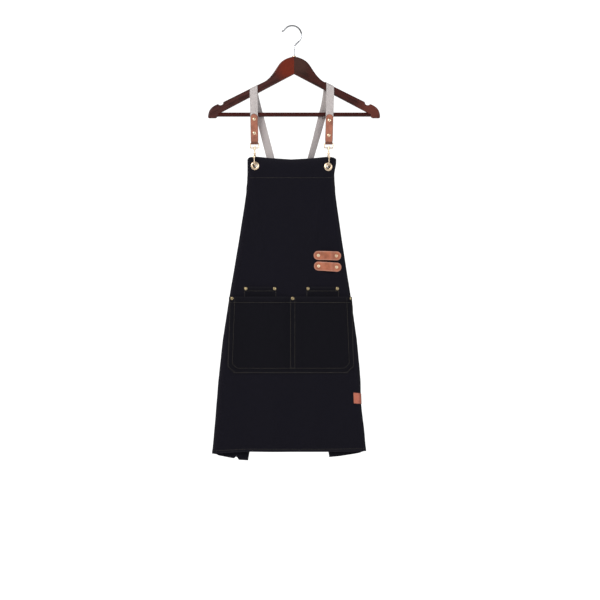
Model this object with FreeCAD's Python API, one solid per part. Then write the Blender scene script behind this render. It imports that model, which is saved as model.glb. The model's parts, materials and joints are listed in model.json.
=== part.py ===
import FreeCAD, Part
import math
import os

# Cross-back work apron hanging from a wooden coat hanger with a swivelling wire hook.
# Millimetres, +Z up, -Y is the front. The origin is the inside top of the hook's bend,
# where a rail would touch it, on the axis of the hook's shank.

V = FreeCAD.Vector
X_AXIS = V(1, 0, 0)
Y_AXIS = V(0, 1, 0)
Z_AXIS = V(0, 0, 1)

# ---- driving dimensions -------------------------------------------------------------
# hook
WIRE_R = 2.0                      # hook wire
BEND_R = 24.0                     # centreline radius of the hook's round
BEND_OFFSET = 5.0                 # how far the round's centre stands left of the shank
ELBOW_R = 8.0
SHANK_END = -104.0
LIP_RUN = 6.0
LIP_R = 7.0
FIT = 0.05                        # running clearance, radial

# hanger
ARM_HALF_T = 7.1
CROWN_TOP = -78.0
CROWN_APEX = -123.5               # underside of the arms at the seam
ARM_STRAIGHT_X = 82.7             # where the shoulder's straight slope starts
ARM_STRAIGHT_Z = -146.0
STEP_X = 182.5                    # shoulder notch
STEP_Z = -195.5
ARM_ROUND = 3.0
BAR_R = 5.5
BAR_Z = -228.0
BAR_HALF = 206.0

# straps, clasps and eyelets
STRAP_W = 20.0
STRAP_T = 1.2
STRAP_Y = -8.0                    # middle of the front straps
GAP = 0.3
LEATHER_T = 1.4
TAB_W = 18.6
LOOP_Z = -303.0                   # upper bar of the clasp's strap loop
LOOP_WIRE_R = 1.3
LOOP_HALF_W = 10.9                # loop's wire centrelines: half width, depth, corner
LOOP_DEEP = 12.0
LOOP_CORNER = 1.6
CLASP_WIRE_R = 1.5
CLASP_R = 8.0                     # centreline radius of the snap ring's ends
ARCH_Z = -339.0
GATE_Z = -339.5                   # gate hinge
GATE_R = 1.3
EYELET_OUT_R = 11.0
EYELET_HOLE_R = 5.5
EYELET_BARREL_R = 6.2
FLANGE_T = 0.7
SIDES = {
    # eyelet centre, lean of the strap, turn of the snap hook on its swivel, strap at the arm
    # (front x, rear x), tab rivet heights
    "left": dict(eye=(-101.0, -360.6), lean=1.0, turn=-12.0, arm=(-104.4, -104.8), tab_top=-226.6,
                 rivets=(-240.3, -276.5)),
    "right": dict(eye=(88.2, -363.0), lean=-1.5, turn=12.0, arm=(93.4, 87.0), tab_top=-227.7,
                  rivets=(-243.0, -282.0)),
}

# apron
CLOTH_T = 1.2
FRONT_Y = -5.6                    # front face of the apron's cloth
FACING_T = 0.8
FACING_LOW = -391.7
BIB_LOW = -400.0                  # the folded part starts here
HEM_Z = -1099.0
MID_TOP = -8.0                    # the apron hangs slightly askew: its middle at the bib's top
MID_HEM = -13.0                   # ... and at the hem
FOLD_R = 12.0
WAIST_Z = -705.0

# pockets
POCKET_TOP = -699.0
POCKET_LOW = -897.0
POCKET_FRONT = -17.4
TOOL_FRONT = -11.4
TOOL_TOP = -673.5
TOOL_LOW = -800.0
TOOL_POCKETS = {"left": (-130.0, -45.0), "right": (31.0, 117.0)}
# centre, and how far the strip droops to the right in degrees
TOOL_LOOPS = {"upper": (86.0, -592.9, 1.4), "lower": (86.8, -621.2, 3.6)}
LOOP_LONG = 70.8
LOOP_HIGH = 23.0
LOOP_ARCH = 5.2

# rivets
HEAD_R = 4.2
HEAD_H = 1.7
HEAD_RIM = 0.5
POST_R = 1.4
BACK_CAP_R = 3.6
BACK_CAP_T = 0.8

os.makedirs("parts", exist_ok=True)


# ---- helpers ------------------------------------------------------------------------
def save(node, shape):
    """Write one sub-part and say how big it is."""
    shape.exportStep("parts/%s.step" % node)
    box = shape.BoundBox
    print("%-24s %9.1f mm3 valid=%s solids=%d  x %.1f..%.1f  y %.1f..%.1f  z %.1f..%.1f" % (
        node, shape.Volume, shape.isValid(), len(shape.Solids), box.XMin, box.XMax,
        box.YMin, box.YMax, box.ZMin, box.ZMax))


def box(x0, x1, y0, y1, z0, z1):
    return Part.makeBox(x1 - x0, y1 - y0, z1 - z0, V(x0, y0, z0))


def rod(radius, start, end):
    """A round bar between two points."""
    run = V(*end) - V(*start)
    return Part.makeCylinder(radius, run.Length, V(*start), run)


def prism(points, y0, y1):
    """A polygon in the X-Z plane, as thick as y0 to y1."""
    corners = [V(x, y0, z) for x, z in points]
    return Part.Face(Part.makePolygon(corners + corners[:1])).extrude(V(0, y1 - y0, 0))


def path(start, heading, steps, plane="xz"):
    """Straight runs joined by tangent arcs. A step is a length, or (radius, turn in degrees)."""
    def place(u, v):
        return V(u, 0, v) if plane == "xz" else V(0, u, v)

    u, v = start
    angle = math.radians(heading)
    edges = []
    for step in steps:
        if isinstance(step, tuple):
            radius, turn = step
            side = math.copysign(math.pi / 2, turn)
            cu = u + radius * math.cos(angle + side)
            cv = v + radius * math.sin(angle + side)
            points = []
            for part in (0, 0.5, 1):
                spoke = angle - side + math.radians(turn) * part
                points.append((cu + radius * math.cos(spoke), cv + radius * math.sin(spoke)))
            edges.append(Part.Arc(*[place(*p) for p in points]).toShape())
            u, v = points[2]
            angle += math.radians(turn)
        else:
            nu = u + step * math.cos(angle)
            nv = v + step * math.sin(angle)
            edges.append(Part.LineSegment(place(u, v), place(nu, nv)).toShape())
            u, v = nu, nv
    return Part.Wire(edges)


SEAM_TURN = 33.0                  # keeps a bent wire's seam off its neighbours' edges


def wire_along(spine, radius):
    """Round wire bent along a path."""
    first = spine.OrderedEdges[0]
    start = first.valueAt(first.FirstParameter)
    direction = first.tangentAt(first.FirstParameter)
    ring = Part.Wire(Part.makeCircle(radius, start, direction))
    ring.rotate(start, direction, SEAM_TURN)
    return spine.makePipeShell([ring], True, True)


def rivet_head():
    """A domed cap on the origin, its dome towards -Y."""
    dome = HEAD_H - HEAD_RIM
    ball_r = (HEAD_R ** 2 + dome ** 2) / (2 * dome)
    ball = Part.makeSphere(ball_r)
    ball.translate(V(0, ball_r - HEAD_H, 0))
    return rod(HEAD_R, (0, 0, 0), (0, -HEAD_H, 0)).common(ball)


def rivet(x, z, y_front, y_back, outward=-1):
    """A tubular rivet: a domed cap, a post and a flat back cap. The dome faces outward along Y."""
    head = rivet_head()
    if outward > 0:
        head.rotate(V(0, 0, 0), Z_AXIS, 180)
        dome_y, back_y = y_back, y_front
    else:
        dome_y, back_y = y_front, y_back
    head.translate(V(x, dome_y, z))
    post = rod(POST_R, (x, dome_y, z), (x, back_y, z))
    back = rod(BACK_CAP_R, (x, back_y, z), (x, back_y - outward * BACK_CAP_T, z))
    return head.fuse([post, back]).removeSplitter()


def post_hole(x, z):
    return rod(POST_R, (x, -40, z), (x, 40, z))


def eyelet_tilted(shape, side):
    """Lean a strap's hardware about its eyelet, in the X-Z plane."""
    x, z = SIDES[side]["eye"]
    shape.translate(V(x, 0, 0))
    shape.rotate(V(x, 0, z), Y_AXIS, SIDES[side]["lean"] * -1)
    return shape


# ---- hook ---------------------------------------------------------------------------
def hook_wire():
    bend_z = -(BEND_R - WIRE_R)
    elbow = ELBOW_R * math.tan(math.radians(22.5))
    diagonal_start = bend_z - BEND_R * math.sqrt(2) + BEND_OFFSET
    shank = diagonal_start - elbow - SHANK_END
    diagonal = (BEND_R * math.sin(math.radians(45)) - BEND_OFFSET) * math.sqrt(2) - elbow
    spine = path((0, SHANK_END), 90,
                 [shank, (ELBOW_R, -45), diagonal, (BEND_R, 183), LIP_RUN, (LIP_R, -33), 1.5])
    return wire_along(spine, WIRE_R)


NUT_LOW = SHANK_END
NUT_TOP = -99.5
NUT_R = 4.2


def retaining_nut():
    """The collar riveted to the shank's end, which keeps the hook in the crown."""
    nut = rod(NUT_R, (0, 0, NUT_LOW), (0, 0, NUT_TOP))
    return nut.cut(rod(WIRE_R, (0, 0, NUT_LOW - 1), (0, 0, NUT_TOP + 1)))


BUSH_LOW = -98.0
BUSH_R = 3.6


def hook_bush():
    """A flanged sleeve in the crown, which the shank turns in."""
    sleeve = rod(BUSH_R, (0, 0, BUSH_LOW), (0, 0, CROWN_TOP + 0.4))
    flange = rod(5.2, (0, 0, CROWN_TOP + 0.4), (0, 0, CROWN_TOP + 1.6))
    bore = rod(WIRE_R + FIT, (0, 0, BUSH_LOW - 1), (0, 0, CROWN_TOP + 3))
    return sleeve.fuse(flange).removeSplitter().cut(bore)


# ---- hanger -------------------------------------------------------------------------
def spline(points):
    curve = Part.BSplineCurve()
    curve.interpolate([V(x, 0, z) for x, z in points])
    return curve.toShape()


def line(a, b):
    return Part.LineSegment(V(a[0], 0, a[1]), V(b[0], 0, b[1])).toShape()


def arc(a, b, c):
    return Part.Arc(*[V(x, 0, z) for x, z in (a, b, c)]).toShape()


def right_arm():
    """One half of the hanger: crown, sloping shoulder, garment notch and rounded tip."""
    crown = [(0, CROWN_TOP), (11, -80.4), (21, -84.2), (33, -92), (47, -110.5), (62.8, -131.8),
             (ARM_STRAIGHT_X, ARM_STRAIGHT_Z)]
    nose = [(196.4, -201), (207.5, -206), (217.6, -215.6), (221.6, -226.5), (222.5, -234.1)]
    edges = [
        spline(crown),
        line(crown[-1], (STEP_X, STEP_Z)),
        line((STEP_X, STEP_Z), (184, -200.6)),
        arc((184, -200.6), (189.6, -204), nose[0]),
        spline(nose),
        arc(nose[-1], (221.5, -236.5), (219.1, -237.5)),
        line((219.1, -237.5), (203.5, -237.5)),
        arc((203.5, -237.5), (199.2, -234.8), (197.5, -230)),
        line((197.5, -230), (197.5, -227.6)),
        line((197.5, -227.6), (0, CROWN_APEX)),
        line((0, CROWN_APEX), (0, CROWN_TOP)),
    ]
    face = Part.Face(Part.Wire(edges))
    face.translate(V(0, -ARM_HALF_T, 0))
    blank = face.extrude(V(0, 2 * ARM_HALF_T, 0))
    long_edges = []
    for edge in blank.Edges:
        on_face = all(abs(abs(v.Y) - ARM_HALF_T) < 0.01 for v in edge.Vertexes)
        same_side = abs(edge.Vertexes[0].Y - edge.Vertexes[-1].Y) < 0.01
        on_seam = all(abs(v.X) < 0.01 for v in edge.Vertexes)
        if on_face and same_side and not on_seam:
            long_edges.append(edge)
    arm = blank.makeFillet(ARM_ROUND, long_edges)
    hollows = [
        rod(BUSH_R, (0, 0, BUSH_LOW), (0, 0, CROWN_TOP + 5)),
        rod(NUT_R + 0.6, (0, 0, NUT_LOW - 0.6), (0, 0, BUSH_LOW)),
        rod(BAR_R, (BAR_HALF, 0, BAR_Z), (150, 0, BAR_Z)),
        rod(SCREW_R, (190, 0, BAR_Z), (240, 0, BAR_Z)),
        rod(SCREW_HEAD_R, (SCREW_SEAT, 0, BAR_Z), (240, 0, BAR_Z)),
    ] + dowels()
    for hollow in hollows:
        arm = arm.cut(hollow)
    return arm


DOWEL_R = 1.9
DOWEL_Z = -113.0


def dowels():
    """Two pegs across the crown's seam, below the hook's collar."""
    return [rod(DOWEL_R, (-20, y, DOWEL_Z), (20, y, DOWEL_Z)) for y in (-3.4, 3.4)]


SCREW_R = 1.2
SCREW_HEAD_R = 2.6
SCREW_SEAT = 219.0


def bar_screw(sign):
    """A screw from the arm's tip into the end of the trouser bar."""
    shank = rod(SCREW_R, (sign * 194, 0, BAR_Z), (sign * SCREW_SEAT, 0, BAR_Z))
    head = rod(SCREW_HEAD_R, (sign * SCREW_SEAT, 0, BAR_Z), (sign * (SCREW_SEAT + 1.8), 0, BAR_Z))
    return shank.fuse(head).removeSplitter()


def trouser_bar():
    bar = rod(BAR_R, (-BAR_HALF, 0, BAR_Z), (BAR_HALF, 0, BAR_Z))
    for sign in (-1, 1):
        bar = bar.cut(rod(SCREW_R, (sign * 194, 0, BAR_Z), (sign * 210, 0, BAR_Z)))
    return bar


# ---- straps -------------------------------------------------------------------------
def strap_saddle(side):
    """The stretch of webbing that lies over the arm, with a leg down each face."""
    front_x, rear_x = SIDES[side]["arm"]
    middle = (front_x + rear_x) / 2
    slope = (STEP_Z - ARM_STRAIGHT_Z) / (STEP_X - ARM_STRAIGHT_X)
    top = ARM_STRAIGHT_Z + slope * (abs(middle) - ARM_STRAIGHT_X)

    def jacket(gap, round_r):
        half = ARM_HALF_T + gap
        sleeve = box(-60, 60, -half, half, -80, gap)
        ridge = [e for e in sleeve.Edges
                 if all(abs(v.Z - gap) < 0.01 and abs(abs(v.Y) - half) < 0.01 for v in e.Vertexes)
                 and abs(e.Vertexes[0].X - e.Vertexes[1].X) > 1]
        sleeve = sleeve.makeFillet(round_r, ridge)
        sleeve.rotate(V(0, 0, 0), Y_AXIS, math.degrees(math.atan(-slope)) * (1 if middle > 0 else -1))
        sleeve.translate(V(middle, 0, top))
        return sleeve

    band = jacket(GAP + STRAP_T, ARM_ROUND + GAP + STRAP_T).cut(jacket(GAP, ARM_ROUND + GAP))
    half = STRAP_W / 2
    outline = [(front_x - half, -12), (front_x + half, -12), (rear_x + half, 12), (rear_x - half, 12)]
    corners = [V(x, y, LEG_END) for x, y in outline]
    slab = Part.Face(Part.makePolygon(corners + corners[:1])).extrude(V(0, 0, 80))
    return band.common(slab)


LEG_END = -180.0
FRONT_END = -297.5


def front_run(side):
    """The short webbing run in front, from the arm into the leather tab."""
    half = STRAP_W / 2
    run = box(-half, half, STRAP_Y - STRAP_T / 2, STRAP_Y + STRAP_T / 2, FRONT_END, LEG_END + 3)
    return eyelet_tilted(run, side)


def rear_run(stations):
    """A webbing run through stations (x, y, z, twist): level slices joined by ruled faces."""
    slices = []
    for x, y, z, twist in stations:
        a = math.radians(twist)
        along = V(math.cos(a), math.sin(a), 0) * (STRAP_W / 2 / math.cos(math.radians(14.5)))
        across = V(-math.sin(a), math.cos(a), 0) * (STRAP_T / 2)
        middle = V(x, y, z)
        corners = [middle - along - across, middle + along - across,
                   middle + along + across, middle - along + across]
        slices.append(Part.makePolygon(corners + corners[:1]))
    return Part.makeLoft(slices, True, True)


# the rear straps cross behind the bib: the right one lies outside and turns on its way down
REAR_RUNS = {
    "left": [(-104.8, 8.0, LEG_END, 0), (-97.2, 8.2, -200, 0), (-61.8, 9.2, -337, 0),
             (-8, 12.0, -544, 0), (24, 18.6, -668, 0), (31.5, 20.4, -697, 0), (38, 20.4, -722, 0)],
    "right": [(87.0, 8.0, LEG_END, 0), (79.6, 8.4, -205, 4), (57, 10.8, -290, 38),
              (43.7, 12.4, -337, 40), (18, 15.2, -440, 16), (-8, 16.0, -544, 0),
              (-39, 19.0, -668, 0), (-46.4, 20.4, -697, 0), (-52.7, 20.4, -722, 0)],
}


def rear_strap(side):
    return rear_run(REAR_RUNS[side])


def strap_tab(side):
    """A leather tab folded round the clasp's loop, with the webbing's end between its layers."""
    top = SIDES[side]["tab_top"]
    half = TAB_W / 2
    inner = STRAP_T / 2 + 0.1
    outer = inner + LEATHER_T
    bore_r = LOOP_WIRE_R + 0.25
    ring_r = bore_r + LEATHER_T
    layers = box(-half, half, STRAP_Y - outer, STRAP_Y + outer, LOOP_Z, top)
    fold = rod(ring_r, (-half, STRAP_Y, LOOP_Z), (half, STRAP_Y, LOOP_Z))
    tab = layers.fuse(fold)
    tab = tab.cut(box(-half - 1, half + 1, STRAP_Y - inner, STRAP_Y + inner, LOOP_Z + 3, top + 1))
    tab = tab.cut(rod(bore_r, (-half - 1, STRAP_Y, LOOP_Z), (half + 1, STRAP_Y, LOOP_Z)))
    outline = box(-half, half, -20, 5, LOOP_Z - 10, top - half).fuse(
        rod(half, (0, -20, top - half), (0, 5, top - half)))
    return eyelet_tilted(tab.common(outline), side)


def tab_rivets(side):
    outer = STRAP_T / 2 + 0.1 + LEATHER_T
    solids = [eyelet_tilted(rivet(0, z, STRAP_Y - outer, STRAP_Y + outer), side)
              for z in SIDES[side]["rivets"]]
    return Part.makeCompound(solids)


def tab_post_holes(side):
    return [eyelet_tilted(post_hole(0, z), side) for z in SIDES[side]["rivets"]]


# ---- clasps -------------------------------------------------------------------------
BOSS_TOP = -312.6
BOSS_LOW = -318.4
BOSS_R = 3.3
STEM_R = 1.7
ARCH_TOP = ARCH_Z + CLASP_R
NOSE_RISE = 0.8


def swung(shape, side):
    """Turn a snap hook's piece about its swivel, to where it hangs."""
    shape.rotate(V(0, STRAP_Y, 0), Z_AXIS, SIDES[side]["turn"])
    return shape


def snap_bend_z(side):
    """Centre of the snap ring's lower round, so that the eyelet hangs in the ring's foot."""
    return SIDES[side]["eye"][1] + 8.0


def gate_foot(side):
    """Lower end of the gate, a hair above the ring's nose."""
    return snap_bend_z(side) + NOSE_RISE + GAP


def clasp_loop(side):
    """The flat strap loop with the boss that the snap hook swivels in."""
    corner = (LOOP_CORNER, -90)
    across = 2 * (LOOP_HALF_W - LOOP_CORNER)
    down = LOOP_DEEP - 2 * LOOP_CORNER
    ring = path((-across / 2, LOOP_Z), 0, [across, corner, down, corner, across, corner, down, corner])
    frame = wire_along(ring, LOOP_WIRE_R)
    frame.translate(V(0, STRAP_Y, 0))
    boss = rod(BOSS_R, (0, STRAP_Y, BOSS_LOW), (0, STRAP_Y, BOSS_TOP))
    bore = rod(STEM_R + FIT, (0, STRAP_Y, BOSS_LOW - 1), (0, STRAP_Y, BOSS_TOP + 1))
    return eyelet_tilted(frame.fuse(boss).cut(bore), side)


def snap_hook(side):
    """Swivel stem and ring: it passes through the eyelet and stays open where the gate closes it."""
    bend_z = snap_bend_z(side)
    spine = path((-CLASP_R * math.cos(math.radians(15)), ARCH_Z + CLASP_R * math.sin(math.radians(15))), 75,
                 [(CLASP_R, -165), ARCH_Z - bend_z, (CLASP_R, -180), NOSE_RISE], plane="yz")
    ring = wire_along(spine, CLASP_WIRE_R)
    stem = rod(STEM_R, (0, 0, ARCH_TOP), (0, 0, BOSS_TOP + 0.6))
    head = rod(2.8, (0, 0, BOSS_TOP + 0.2), (0, 0, BOSS_TOP + 1.8))
    collar = rod(BOSS_R, (0, 0, ARCH_TOP + 0.6), (0, 0, ARCH_TOP + 3.6))
    washer = rod(2.7, (0, 0, BOSS_LOW - 1.5), (0, 0, BOSS_LOW - 0.3))
    cheek = rod(2.3, (-2.5, -CLASP_R, GATE_Z), (2.5, -CLASP_R, GATE_Z))
    web = box(-2.5, 2.5, -CLASP_R - 1.9, -CLASP_R + 2.4, GATE_Z, GATE_Z + 4.4)
    body = ring.fuse([stem, head, collar, washer, cheek, web])
    body = body.cut(box(-1.5, 1.5, -CLASP_R - 4, -CLASP_R + 3.2, GATE_Z - 4, GATE_Z + 2.5))
    body = body.cut(rod(PIN_R, (-5, -CLASP_R, GATE_Z), (5, -CLASP_R, GATE_Z)))
    body.translate(V(0, STRAP_Y, 0))
    return eyelet_tilted(swung(body, side), side)


PIN_R = 0.8


def gate_pin(side):
    pin = rod(PIN_R, (-2.7, STRAP_Y - CLASP_R, GATE_Z), (2.7, STRAP_Y - CLASP_R, GATE_Z))
    return eyelet_tilted(swung(pin, side), side)


def gate(side):
    """The sprung bar that closes the snap ring."""
    y = STRAP_Y - CLASP_R
    foot = gate_foot(side)
    eye = rod(2.0, (-1.35, y, GATE_Z), (1.35, y, GATE_Z))
    bar = rod(GATE_R, (0, y, GATE_Z), (0, y, foot))
    body = eye.fuse(bar)
    body = body.cut(rod(PIN_R + FIT, (-3, y, GATE_Z), (3, y, GATE_Z)))
    body = body.cut(rod(0.75, (0, y, foot + 1.2), (0, y, GATE_Z - 2.4)))
    return eyelet_tilted(swung(body, side), side)


def gate_spring(side):
    """The spring inside the hollow gate, as a plain plug."""
    y = STRAP_Y - CLASP_R
    foot = gate_foot(side)
    spring = rod(0.6, (0, y, foot + 1.5), (0, y, GATE_Z - 2.6))
    return eyelet_tilted(swung(spring, side), side)


# ---- eyelets ------------------------------------------------------------------------
CLOTH_BACK = FRONT_Y + CLOTH_T
FACING_BACK = CLOTH_BACK + FACING_T


def eyelet(side):
    """The front half of the eyelet: flange and barrel."""
    x, z = SIDES[side]["eye"]
    flange = rod(EYELET_OUT_R, (x, FRONT_Y - FLANGE_T, z), (x, FRONT_Y, z))
    rim = max(flange.Edges, key=lambda e: -e.CenterOfMass.y if e.Length > 60 else -99)
    flange = flange.makeFillet(0.45, [rim])
    barrel = rod(EYELET_BARREL_R, (x, FRONT_Y - FLANGE_T, z), (x, FACING_BACK + FLANGE_T, z))
    hole = rod(EYELET_HOLE_R, (x, FRONT_Y - 3, z), (x, FACING_BACK + 3, z))
    return flange.fuse(barrel).removeSplitter().cut(hole)


def eyelet_washer(side):
    """The back half of the eyelet, which the barrel is set into."""
    x, z = SIDES[side]["eye"]
    ring = rod(EYELET_OUT_R, (x, FACING_BACK, z), (x, FACING_BACK + FLANGE_T, z))
    return ring.cut(rod(EYELET_BARREL_R, (x, FACING_BACK - 1, z), (x, FACING_BACK + 2, z)))


def eyelet_holes():
    return [rod(EYELET_BARREL_R, (SIDES[s]["eye"][0], -20, SIDES[s]["eye"][1]),
                (SIDES[s]["eye"][0], 20, SIDES[s]["eye"][1])) for s in SIDES]


# ---- apron cloth --------------------------------------------------------------------
def middle_x(z):
    """The apron's middle line, which leans a little."""
    top_z = -345.0
    return MID_TOP + (MID_HEM - MID_TOP) * (top_z - z) / (top_z - HEM_Z)


# height, half width, fold radius, and how far the flap comes back behind the front
STATIONS = [
    (BIB_LOW, 112.0, 3.0, 1.0),
    (-470.0, 120.0, 6.0, 12.0),
    (-552.0, 133.0, 9.0, 34.0),
    (-630.0, 145.5, 11.0, 68.0),
]
CUT_HALF = 305.0                  # below the waist the flat cloth is this wide each side
for level, front_half in ((WAIST_Z, 158.0), (-811.0, 173.5), (-915.0, 184.0), (-1018.0, 192.0), (HEM_Z, 199.0)):
    STATIONS.append((level, front_half, FOLD_R, CUT_HALF - (front_half - FOLD_R) - math.pi * FOLD_R))


def fold_slice(z, half, radius, back):
    """A level slice of the folded apron: the front, a round fold each side, and the two flaps."""
    mx = middle_x(z)
    flat = half - radius
    inner = radius - CLOTH_T
    yc = FRONT_Y + radius

    def at(x, y):
        return V(mx + x, y, z)

    def bend(sign, r, down):
        ends = [at(sign * flat, yc - r), at(sign * (flat + r), yc), at(sign * flat, yc + r)]
        return Part.Arc(*(ends if down else ends[::-1])).toShape()

    def run(a, b):
        return Part.LineSegment(a, b).toShape()

    tip = flat - back
    return Part.Wire([
        run(at(-flat, yc - radius), at(flat, yc - radius)),
        bend(1, radius, True),
        run(at(flat, yc + radius), at(tip, yc + radius)),
        run(at(tip, yc + radius), at(tip, yc + inner)),
        run(at(tip, yc + inner), at(flat, yc + inner)),
        bend(1, inner, False),
        run(at(flat, yc - inner), at(-flat, yc - inner)),
        bend(-1, inner, True),
        run(at(-flat, yc + inner), at(-tip, yc + inner)),
        run(at(-tip, yc + inner), at(-tip, yc + radius)),
        run(at(-tip, yc + radius), at(-flat, yc + radius)),
        bend(-1, radius, False),
    ])


BIB_TOP = [(-119.5, -352), (-116.5, -343.5), (-101, -337.2), (-60, -341.5), (-6, -344.6),
           (50, -342), (88.2, -338), (103, -344.5), (106.5, -354)]


def bib_outline(low, inset=0.0):
    """The bib's upper stretch in the X-Z plane, down to a level cut."""
    top = [(x - math.copysign(inset, x), z - inset) for x, z in BIB_TOP]
    curve = spline(top)
    left = (middle_x(low) - 112.0 + inset, low)
    right = (middle_x(low) + 112.0 - inset, low)
    return Part.Face(Part.Wire([curve, line(top[-1], right), line(right, left), line(left, top[0])]))


def apron_panel():
    folded = Part.makeLoft([fold_slice(*s) for s in STATIONS], True, True)
    bib = bib_outline(BIB_LOW)
    bib.translate(V(0, FRONT_Y, 0))
    panel = bib.extrude(V(0, CLOTH_T, 0)).fuse(folded)
    for hole in eyelet_holes():
        panel = panel.cut(hole)
    return panel


def bib_facing():
    """The turned-in top hem behind the bib."""
    face = bib_outline(FACING_LOW, inset=2.0)
    face.translate(V(0, CLOTH_BACK, 0))
    facing = face.extrude(V(0, FACING_T, 0))
    for hole in eyelet_holes():
        facing = facing.cut(hole)
    return facing


# ---- pockets ------------------------------------------------------------------------
WALL = 1.2


def pocket_outline(inset, top):
    """The double pocket's shape: wider at the foot, with its lower corners cut off."""
    foot = POCKET_LOW + inset
    left, right = -174.0 + inset, 157.0 - inset
    cut = 18.0
    return [(-166.0 + inset, top), (left, foot + cut), (left + cut, foot), (right - cut, foot),
            (right, foot + cut), (150.0 - inset, top)]


POCKET_RIVETS = [(-160.0, -703.5), (-3.5, -703.5), (143.6, -703.5)]


def main_pocket():
    shell = prism(pocket_outline(0, POCKET_TOP), POCKET_FRONT, FRONT_Y)
    hollow = prism(pocket_outline(WALL, POCKET_TOP + 5), POCKET_FRONT + WALL, FRONT_Y + 1)
    divider = box(-5.5, -1.5, POCKET_FRONT + WALL / 2, FRONT_Y, POCKET_LOW + 0.6, POCKET_TOP)
    pocket = shell.cut(hollow).fuse(divider)
    for x, z in POCKET_RIVETS:
        pocket = pocket.cut(post_hole(x, z))
    return pocket


def tool_rivets_at(side):
    x0, x1 = TOOL_POCKETS[side]
    return [(x0 + 5.2, TOOL_TOP - 4.6), (x1 - 5.2, TOOL_TOP - 4.6)]


def tool_pocket(side):
    """A narrow pocket that stands a little above the double pocket, behind it."""
    x0, x1 = TOOL_POCKETS[side]
    shell = box(x0, x1, TOOL_FRONT, FRONT_Y, TOOL_LOW, TOOL_TOP)
    hollow = box(x0 + WALL, x1 - WALL, TOOL_FRONT + WALL / 2, FRONT_Y + 1, TOOL_LOW + WALL, TOOL_TOP + 5)
    pocket = shell.cut(hollow)
    for x, z in tool_rivets_at(side):
        pocket = pocket.cut(post_hole(x, z))
    return pocket


# ---- leather tool loops, label and waist patches ---------------------------------------
def loop_rivets_at(name):
    x, z, droop = TOOL_LOOPS[name]
    reach = [23.2 * f(math.radians(droop)) for f in (math.cos, math.sin)]
    return [(x + sign * reach[0], z - sign * reach[1]) for sign in (-1, 1)]


def tool_loop(name):
    """A leather strip riveted at both ends and bowed out in the middle for a tool."""
    cx, cz, droop = TOOL_LOOPS[name]
    t = 1.6
    half = LOOP_LONG / 2
    profile = [(-half, 0), (-17.5, 0), (-12, LOOP_ARCH), (12, LOOP_ARCH), (17.5, 0), (half, 0)]
    outer = [V(cx + x, FRONT_Y - t - y, cz - LOOP_HIGH) for x, y in profile]
    # the ramps are as thick as the strip, measured square to them
    slant = math.hypot(5.5, LOOP_ARCH)
    step = t * (slant - 5.5) / LOOP_ARCH
    inner_profile = [(-half, 0), (-17.5 + step, 0), (-12 + step, LOOP_ARCH), (12 - step, LOOP_ARCH),
                     (17.5 - step, 0), (half, 0)]
    inner = [V(cx + x, FRONT_Y - y, cz - LOOP_HIGH) for x, y in inner_profile]
    ring = outer + inner[::-1]
    strip = Part.Face(Part.makePolygon(ring + ring[:1])).extrude(V(0, 0, 2 * LOOP_HIGH))
    end = LOOP_HIGH / 2
    stadium = box(cx - half + end, cx + half - end, -40, 10, cz - end, cz + end)
    for sign in (-1, 1):
        x = cx + sign * (half - end)
        stadium = stadium.fuse(rod(end, (x, -40, cz), (x, 10, cz)))
    strip = strip.common(stadium)
    strip.rotate(V(cx, 0, cz), Y_AXIS, droop)
    for x, z in loop_rivets_at(name):
        strip = strip.cut(post_hole(x, z))
    return strip


def side_label():
    """A blank leather label that wraps the right fold."""
    z0, z1 = -976.0, -948.0
    half = 187.4
    x_fold = middle_x(z1) + half - FOLD_R
    yc = FRONT_Y + FOLD_R
    outer = FOLD_R + 1.2
    quarter = math.radians(70)
    low = z0

    def on(r, a):
        return V(x_fold + r * math.sin(a), yc - r * math.cos(a), low)

    x_left = x_fold - 8.0
    inner = FOLD_R + 0.1
    edges = [
        Part.LineSegment(V(x_left, yc - outer, low), on(outer, 0)).toShape(),
        Part.Arc(on(outer, 0), on(outer, quarter / 2), on(outer, quarter)).toShape(),
        Part.LineSegment(on(outer, quarter), on(inner, quarter)).toShape(),
        Part.Arc(on(inner, quarter), on(inner, quarter / 2), on(inner, 0)).toShape(),
        Part.LineSegment(on(inner, 0), V(x_left, yc - inner, low)).toShape(),
        Part.LineSegment(V(x_left, yc - inner, low), V(x_left, yc - outer, low)).toShape(),
    ]
    label = Part.Face(Part.Wire(edges)).extrude(V(0, 0, z1 - z0))
    # the fold's line leans out towards the hem, and the label leans with it
    label.rotate(V(x_fold, 0, z1), Y_AXIS, -4.6)
    return label


WAIST_AT = {"left": (37.0, -712.0), "right": (-51.5, -712.0)}
PATCH_HALF = 14.0
PATCH_FRONT = 21.1


def waist_patch(side):
    """The leather square that holds a rear strap's end on the flap's corner."""
    x, z = WAIST_AT[side]
    patch = box(x - PATCH_HALF, x + PATCH_HALF, PATCH_FRONT, PATCH_FRONT + LEATHER_T,
                z - PATCH_HALF, z + PATCH_HALF)
    corners = [e for e in patch.Edges if abs(e.Vertexes[0].Y - e.Vertexes[1].Y) > 0.5]
    return patch.makeFillet(4.0, corners).cut(post_hole(x, z))


# ---- build --------------------------------------------------------------------------
save("hook_wire", hook_wire())
save("hook_nut", retaining_nut())
save("hook_bush", hook_bush())

arm = right_arm()
save("hanger_arm_right", arm)
save("hanger_arm_left", arm.mirror(V(0, 0, 0), X_AXIS))
save("crown_dowels", Part.makeCompound(dowels()))
save("trouser_bar", trouser_bar())
save("bar_screws", Part.makeCompound([bar_screw(-1), bar_screw(1)]))

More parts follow.
